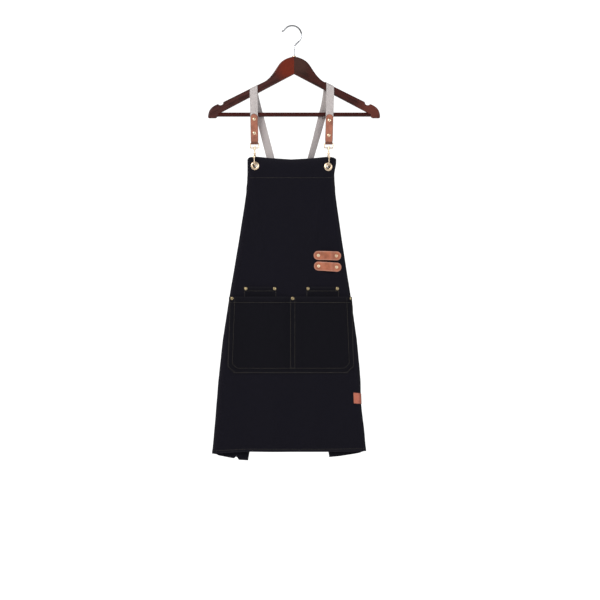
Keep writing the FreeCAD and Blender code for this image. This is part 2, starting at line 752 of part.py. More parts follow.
apron = apron_panel()
for side in SIDES:
    tab = strap_tab(side)
    front = strap_saddle(side).fuse(front_run(side))
    rear = rear_strap(side)
    for hole in tab_post_holes(side):
        tab = tab.cut(hole)
        front = front.cut(hole)
    x, z = WAIST_AT[side]
    rear = rear.cut(post_hole(x, z))
    apron = apron.cut(rod(POST_R, (x, 10, z), (x, 30, z)))
    save("strap_front_%s" % side, front)
    save("strap_rear_%s" % side, rear)
    save("strap_tab_%s" % side, tab)
    save("tab_rivets_%s" % side, tab_rivets(side))
    save("clasp_loop_%s" % side, clasp_loop(side))
    save("snap_hook_%s" % side, snap_hook(side))
    save("gate_pin_%s" % side, gate_pin(side))
    save("snap_gate_%s" % side, gate(side))
    save("gate_spring_%s" % side, gate_spring(side))
    save("eyelet_%s" % side, eyelet(side))
    save("eyelet_washer_%s" % side, eyelet_washer(side))
    save("waist_patch_%s" % side, waist_patch(side))
    save("tool_pocket_%s" % side, tool_pocket(side))

flap_front = FRONT_Y + 2 * FOLD_R - CLOTH_T
save("waist_rivets", Part.makeCompound(
    [rivet(x, z, flap_front, PATCH_FRONT + LEATHER_T, outward=1) for x, z in WAIST_AT.values()]))

for x, z in POCKET_RIVETS:
    # the outer two sit where the cloth begins to turn back, so their back caps sink into it
    apron = apron.cut(rod(POST_R, (x, -30, z), (x, CLOTH_BACK, z)))
    apron = apron.cut(rod(BACK_CAP_R, (x, CLOTH_BACK, z), (x, CLOTH_BACK + BACK_CAP_T, z)))
for x, z in tool_rivets_at("left") + tool_rivets_at("right"):
    apron = apron.cut(rod(POST_R, (x, -30, z), (x, 0, z)))
for name in TOOL_LOOPS:
    for x, z in loop_rivets_at(name):
        apron = apron.cut(rod(POST_R, (x, -30, z), (x, 0, z)))
    save("tool_loop_%s" % name, tool_loop(name))
save("apron_panel", apron)
save("bib_facing", bib_facing())
save("main_pocket", main_pocket())
save("side_label", side_label())
save("pocket_rivets", Part.makeCompound(
    [rivet(x, z, POCKET_FRONT, CLOTH_BACK) for x, z in POCKET_RIVETS]))
save("tool_pocket_rivets", Part.makeCompound(
    [rivet(x, z, TOOL_FRONT, CLOTH_BACK) for s in SIDES for x, z in tool_rivets_at(s)]))
save("tool_loop_rivets", Part.makeCompound(
    [rivet(x, z, FRONT_Y - 1.6, CLOTH_BACK) for n in TOOL_LOOPS for x, z in loop_rivets_at(n)]))
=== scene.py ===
# %% [markdown]
# # A black work apron on a wooden hanger
# The lesson dresses a measured model. The frame brings every hard part at its true place: the
# wire hook, the two halves of the hanger, the trouser bar and the clasps. The rivets and the fronts
# of the eyelets are turned again here with finer profiles, and the soft parts, which come as plain
# solids, are made again as cloth, webbing or leather. Lengths in the cells are millimetres unless a
# comment says otherwise, and `MM` turns them into metres.

# %% Load the frame
import json
import math
import bpy
import numpy as np
from mathutils import Matrix, Vector


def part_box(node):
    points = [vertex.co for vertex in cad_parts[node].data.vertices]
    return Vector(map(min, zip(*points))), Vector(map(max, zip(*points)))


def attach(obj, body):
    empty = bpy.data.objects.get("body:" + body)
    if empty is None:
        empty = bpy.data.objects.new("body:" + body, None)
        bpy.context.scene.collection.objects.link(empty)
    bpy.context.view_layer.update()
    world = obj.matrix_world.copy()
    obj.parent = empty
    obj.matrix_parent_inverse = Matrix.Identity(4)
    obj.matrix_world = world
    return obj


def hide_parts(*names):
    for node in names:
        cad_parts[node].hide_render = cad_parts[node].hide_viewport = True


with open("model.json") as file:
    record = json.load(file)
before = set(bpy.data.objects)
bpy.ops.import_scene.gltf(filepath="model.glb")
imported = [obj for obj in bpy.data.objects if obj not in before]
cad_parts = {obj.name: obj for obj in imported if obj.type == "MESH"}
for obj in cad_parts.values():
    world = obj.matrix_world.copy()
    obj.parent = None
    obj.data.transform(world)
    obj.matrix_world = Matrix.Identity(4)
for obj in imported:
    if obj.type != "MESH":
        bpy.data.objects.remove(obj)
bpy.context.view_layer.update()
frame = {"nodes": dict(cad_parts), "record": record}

MM = 0.001
HANGER = "hanger"
SIDES = ("left", "right")


def box_mm(node):
    """The low and the high corner of a part's box, in millimetres."""
    return [Vector(corner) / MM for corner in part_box(node)]


# %% [markdown]
# ## Camera
# Clothes are best shown from straight in front and from far away, so that the two arms of the
# hanger look alike. A long lens at five metres does that. The view is square, and the apron stands
# in its upper three quarters.

# %% Place the camera
VIEW_WIDE = 1552
VIEW_MIDDLE_X, VIEW_MIDDLE_Z = 15.3, -707.5
CAMERA_AWAY = 5000
SENSOR_WIDE = 36
camera_data = bpy.data.cameras.new("camera")
camera_data.sensor_width = SENSOR_WIDE
camera_data.lens = SENSOR_WIDE * CAMERA_AWAY / VIEW_WIDE
camera = bpy.data.objects.new("camera", camera_data)
bpy.context.collection.objects.link(camera)
camera.location = Vector((VIEW_MIDDLE_X, -CAMERA_AWAY, VIEW_MIDDLE_Z)) * MM
camera.rotation_euler = (math.radians(90), 0, 0)
bpy.context.scene.camera = camera
print("lens", round(camera_data.lens, 1), "mm")

# %% [markdown]
# ## Studio
# The hook hangs at the height of a clothes rail, so the pale floor lies 1.9 metres below it. Two
# soft lamps light the front, and a narrow one behind the left shoulder gives the lacquer and the
# wire their edges. Lamps and floor are placed in metres.

# %% Build the floor and the lamps
FLOOR_Z = -1.9
FLOOR_WIDE, FLOOR_MIDDLE_Y = 6, -0.95


def deselect_all():
    if bpy.context.object and bpy.context.object.mode != "OBJECT":
        bpy.ops.object.mode_set(mode="OBJECT")
    bpy.ops.object.select_all(action="DESELECT")


deselect_all()
bpy.ops.mesh.primitive_plane_add(size=FLOOR_WIDE, location=(0, FLOOR_MIDDLE_Y, FLOOR_Z))
floor = bpy.context.object
floor.name = "studio_floor"


def lamp(name, place, aim, size, power, colour=(1, 1, 1)):
    data = bpy.data.lights.new(name, "AREA")
    data.shape = "RECTANGLE"
    data.size, data.size_y = size
    data.energy = power
    data.color = colour
    item = bpy.data.objects.new(name, data)
    bpy.context.collection.objects.link(item)
    item.location = place
    item.rotation_euler = (Vector(aim) - Vector(place)).to_track_quat("-Z", "Y").to_euler()
    print(name, power, "watts")


lamp("key", (-1.9, -2.4, 0.9), (0, 0, -0.6), (1.6, 1.6), 78, (1.0, 0.985, 0.96))
lamp("fill", (2.2, -2.6, -0.2), (0, 0, -0.6), (1.8, 1.8), 40, (0.95, 0.97, 1.0))
lamp("rim", (-1.2, 1.1, 0.7), (0, 0, -0.5), (0.5, 1.6), 18)

# %% [markdown]
# ## Surroundings
# The surroundings are white behind the apron and grey in front of it, like a bright wall that faces
# a dim room: the grey side is what the polished metal mirrors. The strength is read from the
# direction's Y, so a look towards -Y meets the dim side, and the two sides blend over a short span.

# %% Light the surroundings
DIM_SIDE, BRIGHT_SIDE = 0.26, 1.15
DIM_UNTIL, BRIGHT_FROM = 0.45, 0.75
world = bpy.data.worlds.new("world")
world.use_nodes = True
sky = world.node_tree
direction = sky.nodes.new("ShaderNodeTexCoord").outputs["Generated"]
split = sky.nodes.new("ShaderNodeSeparateXYZ")
fade = sky.nodes.new("ShaderNodeMapRange")
for name, value in (("From Min", DIM_UNTIL), ("From Max", BRIGHT_FROM),
                    ("To Min", DIM_SIDE), ("To Max", BRIGHT_SIDE)):
    fade.inputs[name].default_value = value
sky.links.new(direction, split.inputs[0])
sky.links.new(split.outputs["Y"], fade.inputs["Value"])
sky.links.new(fade.outputs["Result"], sky.nodes["Background"].inputs["Strength"])
sky.nodes["Background"].inputs["Color"].default_value = (1, 1, 1, 1)
bpy.context.scene.world = world
bpy.context.scene.view_settings.view_transform = "Standard"
print("surroundings from", DIM_SIDE, "to", BRIGHT_SIDE)

# %% [markdown]
# ## A small kit for finishes
# Every finish starts from one shader. `finish_of` sets the plain values on it, and `add_node` hangs
# a node on the tree with its inputs given by name. A value that is a socket is linked, and any
# other value is set.

# %% Material helpers
def add_node(tree, kind, props=None, **inputs):
    item = tree.nodes.new(kind)
    for key, value in (props or {}).items():
        setattr(item, key, value)
    for key, value in inputs.items():
        socket = item.inputs[int(key[1:])] if key[0] == "i" and key[1:].isdigit() \
            else item.inputs[key.replace("_", " ")]
        if isinstance(value, bpy.types.NodeSocket):
            tree.links.new(value, socket)
        else:
            socket.default_value = value
    return item


def finish_of(name, base, roughness, metallic=0.0, **more):
    material = bpy.data.materials.new(name)
    material.use_nodes = True
    shader = material.node_tree.nodes["Principled BSDF"]
    shader.inputs["Base Color"].default_value = (*base, 1)
    shader.inputs["Roughness"].default_value = roughness
    shader.inputs["Metallic"].default_value = metallic
    for key, value in more.items():
        shader.inputs[key.replace("_", " ")].default_value = value
    print("finish:", name)
    return material, material.node_tree, shader


# %% [markdown]
# ## Patterns for the finishes
# A pattern is a texture on a place. Each of these wraps one texture or one change of place, so that
# a finish can name it in a line. Scales are repeats per metre.

# %% Pattern helpers
def ramp(tree, factor, stops):
    """A colour ramp: stops are (position, colour)."""
    item = add_node(tree, "ShaderNodeValToRGB", Fac=factor)
    elements = item.color_ramp.elements
    elements[0].position, elements[0].color = stops[0][0], (*stops[0][1], 1)
    elements[1].position, elements[1].color = stops[-1][0], (*stops[-1][1], 1)
    for position, colour in stops[1:-1]:
        elements.new(position).color = (*colour, 1)
    return item.outputs["Color"]


def noise(tree, vector, scale, detail=3.0, roughness=0.55):
    return add_node(tree, "ShaderNodeTexNoise", Vector=vector, Scale=scale, Detail=detail,
                    Roughness=roughness).outputs["Fac"]


def mapped(tree, vector, scale=(1, 1, 1), turn=(0, 0, 0), move=(0, 0, 0)):
    return add_node(tree, "ShaderNodeMapping", Vector=vector, Scale=scale, Rotation=turn,
                    Location=move).outputs["Vector"]


# a round fade; it places the painted highlights on the wood
def highlight_spot(tree, place, centre, radius):
    """1 at a place on the object, fading to 0 at a radius, both in millimetres."""
    scale = 1 / (radius * MM)
    move = tuple(-c * MM * scale for c in centre)
    near = mapped(tree, place, scale=(scale,) * 3, move=move)
    ball = add_node(tree, "ShaderNodeTexGradient", {"gradient_type": "SPHERICAL"}, Vector=near)
    return ball.outputs["Fac"]


def wave(tree, vector, scale, distortion=0.0):
    return add_node(tree, "ShaderNodeTexWave", {"bands_direction": "X"}, Vector=vector,
                    Scale=scale, Distortion=distortion).outputs["Fac"]


# the wave texture repeats every 2 pi / 20 of its own unit
WAVE_PERIOD = 2 * math.pi / 20


def lines_every(period_mm):
    return WAVE_PERIOD / (period_mm * MM)


def attribute(tree, name):
    return add_node(tree, "ShaderNodeAttribute", {"attribute_name": name}).outputs["Fac"]


print("waves one millimetre apart have scale", round(lines_every(1), 1))

# %% [markdown]
# ## Sums, mixes and relief
# Patterns are added up with `maths`, turned into colour with `mixed`, and raised with `bumped`,
# whose depth is in millimetres. `coloured` hands the finished colour to the shader.

# %% Blending helpers
def maths(tree, operation, a, b=0.0):
    return add_node(tree, "ShaderNodeMath", {"operation": operation}, i0=a, i1=b).outputs[0]


def mixed(tree, factor, a, b):
    item = add_node(tree, "ShaderNodeMix", {"data_type": "RGBA"}, i0=factor)
    for socket, value in ((item.inputs[6], a), (item.inputs[7], b)):
        if isinstance(value, bpy.types.NodeSocket):
            tree.links.new(value, socket)
        else:
            socket.default_value = (*value, 1)
    return item.outputs[2]


def bumped(tree, shader, height, deep, strength=1.0):
    bump = add_node(tree, "ShaderNodeBump", Height=height, Distance=deep * MM, Strength=strength)
    tree.links.new(bump.outputs["Normal"], shader.inputs["Normal"])


def coloured(tree, shader, colour):
    tree.links.new(colour, shader.inputs["Base Color"])


def object_place(tree):
    return add_node(tree, "ShaderNodeTexCoord").outputs["Object"]


def uv_place(tree):
    return add_node(tree, "ShaderNodeTexCoord").outputs["UV"]


def grey(share):
    return (share,) * 3


print("blending helpers ready")

# %% [markdown]
# ## Black canvas
# The cloth is a heavy cotton twill, dyed black with a breath of blue. Up close it has diagonal
# ribs under a millimetre apart, thicker and thinner yarns, and a little lint. The weave follows the
# cloth, so it reads the flat pattern's own measure, which each cloth piece carries as its UV map in
# metres. Where the cloth is folded or hemmed the dye is rubbed, and an attribute named `wear` says
# where.

# %% Mix the canvas
TWILL_RIB = 0.9
TWILL_SLANT = math.radians(52)
RUBBED_DYE = (0.030, 0.028, 0.034)


def make_canvas(name, tint):
    material, tree, shader = finish_of(name, tint, 0.88, Sheen_Weight=0.04, Sheen_Roughness=0.45,
                                       Specular_IOR_Level=0.09)
    shader.inputs["Sheen Tint"].default_value = (0.72, 0.74, 1.0, 1)
    uv = uv_place(tree)
    twill = wave(tree, mapped(tree, uv, turn=(0, 0, TWILL_SLANT)), lines_every(TWILL_RIB), 0.35)
    yarn = noise(tree, mapped(tree, uv, scale=(2600, 240, 1)), 1.0, 2.0)
    cross = noise(tree, mapped(tree, uv, scale=(200, 2400, 1)), 1.0, 2.0)
    cloudy = noise(tree, uv, 9.0, 4.0, 0.6)
    rib = maths(tree, "MULTIPLY", twill, 0.55)
    threads = maths(tree, "MULTIPLY", maths(tree, "ADD", yarn, cross), 0.3)
    height = maths(tree, "ADD", rib, threads)
    hollow, ridge = tuple(c * 0.55 for c in tint), tuple(c * 2.0 for c in tint)
    weave = ramp(tree, height, [(0.25, hollow), (0.6, tint), (0.85, ridge)])
    bluer = (tint[0] * 1.3, tint[1] * 1.25, tint[2] * 1.7)
    faded = mixed(tree, maths(tree, "MULTIPLY", cloudy, 0.35), weave, bluer)
    rub = maths(tree, "MULTIPLY", attribute(tree, "wear"), maths(tree, "MULTIPLY", yarn, 0.55))
    coloured(tree, shader, mixed(tree, rub, faded, RUBBED_DYE))
    bumped(tree, shader, height, 0.22, 0.7)
    return material


canvas = make_canvas("black_canvas", (0.0050, 0.0046, 0.0074))
pocket_canvas = make_canvas("black_pocket_canvas", (0.0040, 0.0038, 0.0056))

# %% [markdown]
# ## Grey webbing
# The straps are cotton webbing of a warm grey. The weft runs across in ribs, the warp shows as a
# herringbone of short slants, and each edge has a firm selvedge. Its UV map counts metres across
# and along the strap. The run behind the hanger, past `FRONT_RUN`, is painted a little darker as painted
# shade.

# %% Mix the webbing
STRAP_WIDE = 20
FRONT_RUN = 165
WEBBING_RIB = 1.1
HERRINGBONE = 2.5
SELVEDGE = 1.3


def make_webbing():
    material, tree, shader = finish_of("grey_webbing", (0.54, 0.49, 0.485), 0.82,
                                       Sheen_Weight=0.25, Sheen_Roughness=0.5)
    uv = uv_place(tree)
    parts = add_node(tree, "ShaderNodeSeparateXYZ", Vector=uv)
    across, along = parts.outputs["X"], parts.outputs["Y"]
    herringbone = maths(tree, "PINGPONG", across, HERRINGBONE * MM)
    slant = maths(tree, "ADD", herringbone, along)
    slanted = add_node(tree, "ShaderNodeCombineXYZ", X=slant).outputs[0]
    ribs = wave(tree, slanted, lines_every(WEBBING_RIB), 0.2)
    edge = maths(tree, "ABSOLUTE", across)
    selvedge = maths(tree, "GREATER_THAN", edge, (STRAP_WIDE / 2 - SELVEDGE) * MM)
    fluff = noise(tree, mapped(tree, uv, scale=(1500, 500, 1)), 1.0, 3.0)
    height = maths(tree, "ADD", ribs, maths(tree, "MULTIPLY", fluff, 0.5))
    yarns = ramp(tree, height, [(0.15, (0.37, 0.33, 0.325)), (0.6, (0.53, 0.48, 0.475)),
                                (1.0, (0.64, 0.59, 0.585))])
    patchy = maths(tree, "MULTIPLY", noise(tree, uv, 22.0), 0.28)
    soiled = mixed(tree, patchy, yarns, (0.47, 0.43, 0.41))
    firm = mixed(tree, maths(tree, "MULTIPLY", selvedge, 0.35), soiled, (0.42, 0.38, 0.37))
    # painted shade: past FRONT_RUN the strap's rear run is mixed towards a darker grey
    behind = add_node(tree, "ShaderNodeMapRange", Value=along, i1=FRONT_RUN * MM,
                      i2=(FRONT_RUN + 60) * MM).outputs["Result"]
    dull = mixed(tree, maths(tree, "MULTIPLY", behind, 0.45), firm, (0.40, 0.36, 0.355))
    coloured(tree, shader, dull)
    bumped(tree, shader, height, 0.28, 0.8)
    return material


webbing = make_webbing()

# %% [markdown]
# ## Leather
# The tabs, the tool loops and the label are vegetable-tanned leather, waxed on the face. It has
# fine pores in small plates, darker clouds where the wax lies, and burnished edges on the tabs, the
# patches and the label; the tool loops have a lighter band along their edges. How near a point is to
# the cut edge is stored in the attribute `rim`: 1 on the edge and 0 a little way in. On the tabs it
# is also 1 in a band round the fold, where the rim's dark colour is painted shade.

# %% Mix the leathers
def make_leather(name, face, edge, gloss):
    material, tree, shader = finish_of(name, face, 0.5, Coat_Weight=gloss, Coat_Roughness=0.32,
                                       Specular_IOR_Level=0.3)
    place = object_place(tree)
    clouds = noise(tree, place, 60.0, 5.0, 0.6)
    plates = add_node(tree, "ShaderNodeTexVoronoi", Vector=place, Scale=1500.0).outputs["Distance"]
    creases = noise(tree, place, 700.0, 3.0, 0.6)
    dark = tuple(c * 0.62 for c in face)
    light = tuple(min(1, c * 1.28) for c in face)
    body = ramp(tree, clouds, [(0.30, dark), (0.52, face), (0.75, light)])
    pored = mixed(tree, maths(tree, "MULTIPLY", creases, 0.30), body, dark)
    # the rim colour also paints shade into the band round the tabs' fold
    rim = attribute(tree, "rim")
    coloured(tree, shader, mixed(tree, maths(tree, "MULTIPLY", rim, 0.85), pored, edge))
    waxed = ramp(tree, clouds, [(0.3, grey(0.62)), (0.7, grey(0.42))])
    tree.links.new(waxed, shader.inputs["Roughness"])
    bumped(tree, shader, maths(tree, "ADD", plates, creases), 0.16, 0.5)
    return material


tab_leather = make_leather("tab_leather", (0.385, 0.140, 0.086), (0.115, 0.040, 0.025), 0.18)
# the tool loops' edge colour is lighter than their face: a lighter band along each edge
loop_leather = make_leather("loop_leather", (0.40, 0.128, 0.066), (0.52, 0.25, 0.18), 0.22)
label_leather = make_leather("label_leather", (0.46, 0.130, 0.080), (0.20, 0.055, 0.038), 0.15)

# %% [markdown]
# ## Lacquered wood
# The hanger is stained mahogany under clear lacquer. Its two halves differ in tone, partly as two
# boards do and partly as painted light, the left half standing for the lit side of the crown and the
# right half for the shaded side: at the seam the left one looks redder and the right one browner.
# The grain runs down each shoulder, so the pattern is turned by the shoulder's slope before it is
# stretched. Painted highlights lie on the lacquer in three places, each marked out by a round fade:
# a warm red one on the left side of the crown, a dull one beside it, and a reddish one at the right tip.

# %% Mix the woods
SHOULDER_SLOPE = math.radians(26.3)


def make_wood(name, slope, deep, body, painted_highlights=()):
    """The last argument lists (centre, radius, colour): painted highlights on the lacquer."""
    material, tree, shader = finish_of(name, body, 0.42, Coat_Weight=0.18, Coat_Roughness=0.09,
                                       Specular_IOR_Level=0.10)
    place = object_place(tree)
    grained = mapped(tree, place, turn=(0, slope, 0))
    streaks = noise(tree, mapped(tree, grained, scale=(11, 90, 260)), 1.0, 4.0, 0.6)
    mottle = noise(tree, mapped(tree, grained, scale=(35, 60, 90)), 1.0, 3.0)
    pores = noise(tree, mapped(tree, grained, scale=(60, 900, 1900)), 1.0, 2.0)
    long_marks = maths(tree, "MULTIPLY", streaks, 0.6)
    short_marks = maths(tree, "MULTIPLY", mottle, 0.4)
    stain = ramp(tree, maths(tree, "ADD", long_marks, short_marks), [(0.36, deep), (0.56, body)])
    # painted highlights: each spot mixes a lighter colour into the stain
    for centre, radius, colour in painted_highlights:
        near = ramp(tree, highlight_spot(tree, place, centre, radius), [(0.0, grey(0)), (0.62, grey(1))])
        darker = tuple(c * 0.6 for c in colour)
        highlight_colour = mixed(tree, maths(tree, "MULTIPLY", streaks, 0.5), colour, darker)
        stain = mixed(tree, near, stain, highlight_colour)
    pored = mixed(tree, ramp(tree, pores, [(0.60, grey(0)), (0.70, grey(0.5))]), stain, deep)
    coloured(tree, shader, pored)
    bumped(tree, shader, pores, 0.06, 0.35)
    return material


# the left half is a little redder and brighter, partly as its board and partly as painted light; its spot
# is a painted highlight on the crown
wood_left = make_wood("wood_left", SHOULDER_SLOPE, (0.020, 0.007, 0.006), (0.066, 0.021, 0.018),
                      [((-13, -7, -106), 46, (0.160, 0.021, 0.009))])
# the right half is browner and darker, partly as its board and partly as painted shade; both spots are
# painted highlights
wood_right = make_wood("wood_right", -SHOULDER_SLOPE, (0.018, 0.007, 0.006), (0.056, 0.014, 0.011),
                       [((14, -7, -98), 34, (0.062, 0.026, 0.020)),
                        ((202, -7, -214), 46, (0.130, 0.034, 0.024))])
bar_wood = make_wood("bar_wood", 0, (0.022, 0.004, 0.003), (0.050, 0.0085, 0.006))
dowel_wood = make_wood("dowel_wood", 0, (0.30, 0.19, 0.10), (0.50, 0.34, 0.20))

# %% [markdown]
# ## Metals
# The hook is chromed wire. The clasps, eyelets and rivets are gold-plated zinc, which is paler than
# brass and shows fine rubbing. The rivets on the pockets are duller and look like aged brass. All
# are nearly smooth, so most of their look is in the reflections.

# %% Mix the metals
def make_metal(name, base, dull, roughness, scuff):
    material, tree, shader = finish_of(name, base, roughness, 1.0)
    place = object_place(tree)
    rub = noise(tree, place, 420.0, 4.0, 0.65)
    haze = noise(tree, place, 45.0, 2.0)
    hazy = ramp(tree, haze, [(0.42, grey(0)), (0.75, grey(0.8))])
    coloured(tree, shader, mixed(tree, hazy, base, dull))
    rubbed = ramp(tree, rub, [(0.35, grey(roughness)), (0.75, grey(roughness + scuff))])
    tree.links.new(rubbed, shader.inputs["Roughness"])
    bumped(tree, shader, rub, 0.03, 0.3)
    return material


chrome = make_metal("chrome", (0.42, 0.43, 0.45), (0.30, 0.31, 0.33), 0.12, 0.10)
gold = make_metal("gold_plate", (0.88, 0.70, 0.50), (0.66, 0.49, 0.32), 0.29, 0.14)
aged_brass = make_metal("aged_brass", (0.48, 0.38, 0.21), (0.16, 0.125, 0.07), 0.30, 0.16)
spring_steel = make_metal("spring_steel", (0.42, 0.42, 0.44), (0.30, 0.30, 0.31), 0.35, 0.15)

# %% [markdown]
# ## Thread
# The seams are sewn with a heavy olive-tan thread. Two plies twist round each other, so a fine slant
# runs along every stitch.

# %% Mix the thread
PLY_SLANT = math.radians(35)
PLY_PITCH = 0.6


def make_thread(name, colour):
    material, tree, shader = finish_of(name, colour, 0.7, Sheen_Weight=0.2)
    place = object_place(tree)
    ply = wave(tree, mapped(tree, place, turn=(0, PLY_SLANT, 0)), lines_every(PLY_PITCH))
    lint = noise(tree, place, 900.0, 2.0)
    dark = tuple(c * 0.6 for c in colour)
    tone = mixed(tree, maths(tree, "MULTIPLY", ply, 0.45), colour, dark)
    coloured(tree, shader, mixed(tree, maths(tree, "MULTIPLY", lint, 0.3), tone, dark))
    bumped(tree, shader, ply, 0.05, 0.6)
    return material


olive_thread = make_thread("olive_thread", (0.056, 0.045, 0.027))
tan_thread = make_thread("tan_thread", (0.42, 0.26, 0.13))

# %% [markdown]
# ## Painting
# The record names the material slot of every part in the frame, so one table paints them all. The
# soft parts are painted too, although new pieces take their place below.

# %% Paint the parts and the floor
floor.data.materials.append(finish_of("floor_paint", (0.90, 0.90, 0.90), 0.9)[0])


def paint(obj, material):
    obj.data.materials.clear()
    obj.data.materials.append(material)


slot_paint = {"chrome": chrome, "brass": gold, "spring_steel": spring_steel, "wood_left": wood_left,
              "wood_right": wood_right, "bar_wood": bar_wood, "dowel_wood": dowel_wood,
              "webbing": webbing, "tab_leather": tab_leather, "loop_leather": loop_leather,
              "label_leather": label_leather, "cloth": canvas}
for part in frame["record"]["subparts"]:
    paint(frame["nodes"][part["node"]], slot_paint[part["material_slot"]])
print(len(slot_paint), "finishes on", len(frame["nodes"]), "hard and soft parts")

# %% [markdown]
# ## A kit for cloth
# A sheet starts as a flat grid, as a cutter lays it out, and every point is then moved to where it
# hangs. `cloth_grid` adds the grid, moves its points by a rule, and writes the flat measure into
# the UV map. The rule gets `u` across and `v` up, both from 0 to 1, and gives the point in space
# and the point on the flat pattern.

# %% Cloth helpers
def apply_modifier(obj, kind, **settings):
    modifier = obj.modifiers.new(kind.lower(), kind)
    for key, value in settings.items():
        setattr(modifier, key, value)
    deselect_all()
    obj.select_set(True)
    bpy.context.view_layer.objects.active = obj
    bpy.ops.object.modifier_apply(modifier=modifier.name)


def set_attribute(obj, name, values):
    layer = obj.data.attributes.new(name, "FLOAT", "POINT")
    layer.data.foreach_set("value", np.asarray(values, np.float32))


def cloth_grid(name, across, up, rule, wear=None):
    deselect_all()
    bpy.ops.mesh.primitive_grid_add(x_subdivisions=across, y_subdivisions=up, size=2)
    obj = bpy.context.object
    obj.name = name
    mesh = obj.data
    flat = {}
    rub = []
    for vertex in mesh.vertices:
        u, v = (vertex.co.x + 1) / 2, (vertex.co.y + 1) / 2
        point, pattern = rule(u, v)
        vertex.co = Vector(point) * MM
        flat[vertex.index] = (pattern[0] * MM, pattern[1] * MM)
        rub.append(wear(u, v) if wear else 0.0)
    uv = mesh.uv_layers.active.data
    for loop in mesh.loops:
        uv[loop.index].uv = flat[loop.vertex_index]
    set_attribute(obj, "wear", rub)
    return obj


print("cloth helpers ready")

# %% [markdown]
# ## Finishing a piece
# Every new piece ends in the same way: it gets its finish, is shaded smooth over its gentle angles,
# and is given the solids that it stands in for and the body that it moves with.

# %% Finishing helpers
def finish_piece(obj, material, replaces=(), angle=40):
    """Gives a new piece its finish and smooth shading. All of them move with the hanger."""
    paint(obj, material)
    deselect_all()
    obj.select_set(True)
    bpy.context.view_layer.objects.active = obj
    bpy.ops.object.shade_smooth_by_angle(angle=math.radians(angle))
    if replaces:
        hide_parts(*replaces)
    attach(obj, HANGER)
    print(obj.name, len(obj.data.polygons), "faces")
    return obj


def smooth_step(value):
    value = min(1.0, max(0.0, value))
    return value * value * (3 - 2 * value)


print("half way up a smooth step:", smooth_step(0.5))


# %% [markdown]
# ## How the apron hangs
# The apron is one cross-back panel, 610 mm wide and 763 mm long when flat. On the hanger its sides
# are turned back behind it, and each side rolls round a soft fold. The fold line leans outward
# towards the hem, so the flap behind it drops below the front hem by twice that lean.
#
# A row of the table gives, at one height, half the front's width, the roll's radius and half the
# flat cut. The hem is level, but its left corner hangs down and its right one is lifted, which
# `HEM_LINE` gives as places across and how much each is lowered or raised.

# %% Measure the frame and set the hang
cloth_low = box_mm("apron_panel")[0]
HEM = cloth_low.z
FRONT = cloth_low.y
BIB_LEVEL = -345
CUT_HALF = 305
# height, half of the front, fold radius, half of the flat cut
HEIGHT, HALF, RADIUS, CUT = range(4)
HANG = np.array([
    (-1099, 199.3, 12.0, CUT_HALF), (-1018, 192.4, 12.0, CUT_HALF), (-915, 184.6, 12.0, CUT_HALF),
    (-811, 174.0, 12.0, CUT_HALF), (-705, 158.3, 12.0, CUT_HALF), (-690, 156.0, 12.0, CUT_HALF),
    (-676, 153.8, 12.0, 302), (-660, 151.2, 11.7, 284), (-645, 148.6, 11.3, 258), (-630, 146.0, 11.0, 238),
    (-590, 139.6, 10.0, 206), (-552, 133.3, 9.0, 184), (-510, 127.0, 7.5, 163), (-470, 120.8, 6.0, 145),
    (-430, 115.2, 4.0, 128), (-400, 112.7, 2.5, 117), (-385, 112.2, 1.2, 113.5), (-336, 112.5, 1.2, 114.0)])
MIDDLE_TOP, MIDDLE_LEAN = -8.0, 5.0 / 754
HEM_LINE = (-200, -150, -100, 95, 150, 200), (-5.6, -2.8, -1.0, -1.2, -0.3, 1.2)


def table(h, column):
    return float(np.interp(h, HANG[:, HEIGHT], HANG[:, column]))


def middle(h):
    """Where the apron's middle line runs: it leans a little to the left on its way down."""
    return MIDDLE_TOP - MIDDLE_LEAN * (BIB_LEVEL - h)


print("hem", HEM, "front face", FRONT)

# %% [markdown]
# ## Folds and drape
# The front hangs in shallow waves that grow towards the hem, and two faint creases run down the bib
# from the eyelets. Behind the folds each flap sags forward between its fold and the strap's corner,
# and its hem drops below the front's. The left flap's hem also has a small nick where a crease ends.

# %% Shape the waves, the folds and the flaps
CREASE_AT = (-101, 88)
CREASE_TOP, CREASE_TALL = -360, 260
LEAN_STEP = 12
LEAN_AT_HEM = 0.086
NICK_X = -149


def drape(x, h):
    """How far the front swings back (+) or forward (-): still at the bib, wavy at the hem."""
    low = smooth_step((-430 - h) / 640)
    waves = 2.6 * math.sin(x / 31 + 0.5 + h / 900) + 1.7 * math.sin(x / 17.5 - 1.1 - h / 500)
    hollow = 1.6 * math.exp(-((x + 8) / 70) ** 2) * math.exp(-((h + 350) / 70) ** 2)
    pull = 0.0
    along = (CREASE_TOP - h) / CREASE_TALL
    if 0 < along < 1:
        for start in CREASE_AT:
            off = x - start + math.copysign(34 * along, start)
            pull -= 1.1 * math.exp(-(off / 9) ** 2) * math.sin(math.pi * along)
    return low * waves + hollow + pull


def roll(s, h):
    """Radius of the side's soft fold, which is tighter towards the hem."""
    return table(h, RADIUS) * (1 - (0.16 if s < 0 else 0.33) * smooth_step((-811 - h) / 288))


def fold_lean(h):
    """How far the fold line leans outward at a height, in radians."""
    if h - LEAN_STEP <= HEM:
        return math.atan(LEAN_AT_HEM)
    return math.atan((table(h - LEAN_STEP, HALF) - table(h + LEAN_STEP, HALF)) / (2 * LEAN_STEP))


def flap_sag(rest, room, h, sign):
    """How far forward the flap lies, `rest` past its fold on a flap that is `room` wide."""
    slack = math.sin(math.pi * min(1, rest / max(20.0, room)))
    sag = slack * (2.6 + 2.2 * math.sin(rest / 15 + h / 60 * sign)) * smooth_step((-640 - h) / 200)
    return sag + smooth_step((-900 - h) / 200) * 1.8 * (1 - math.cos(rest / 11 + sign))


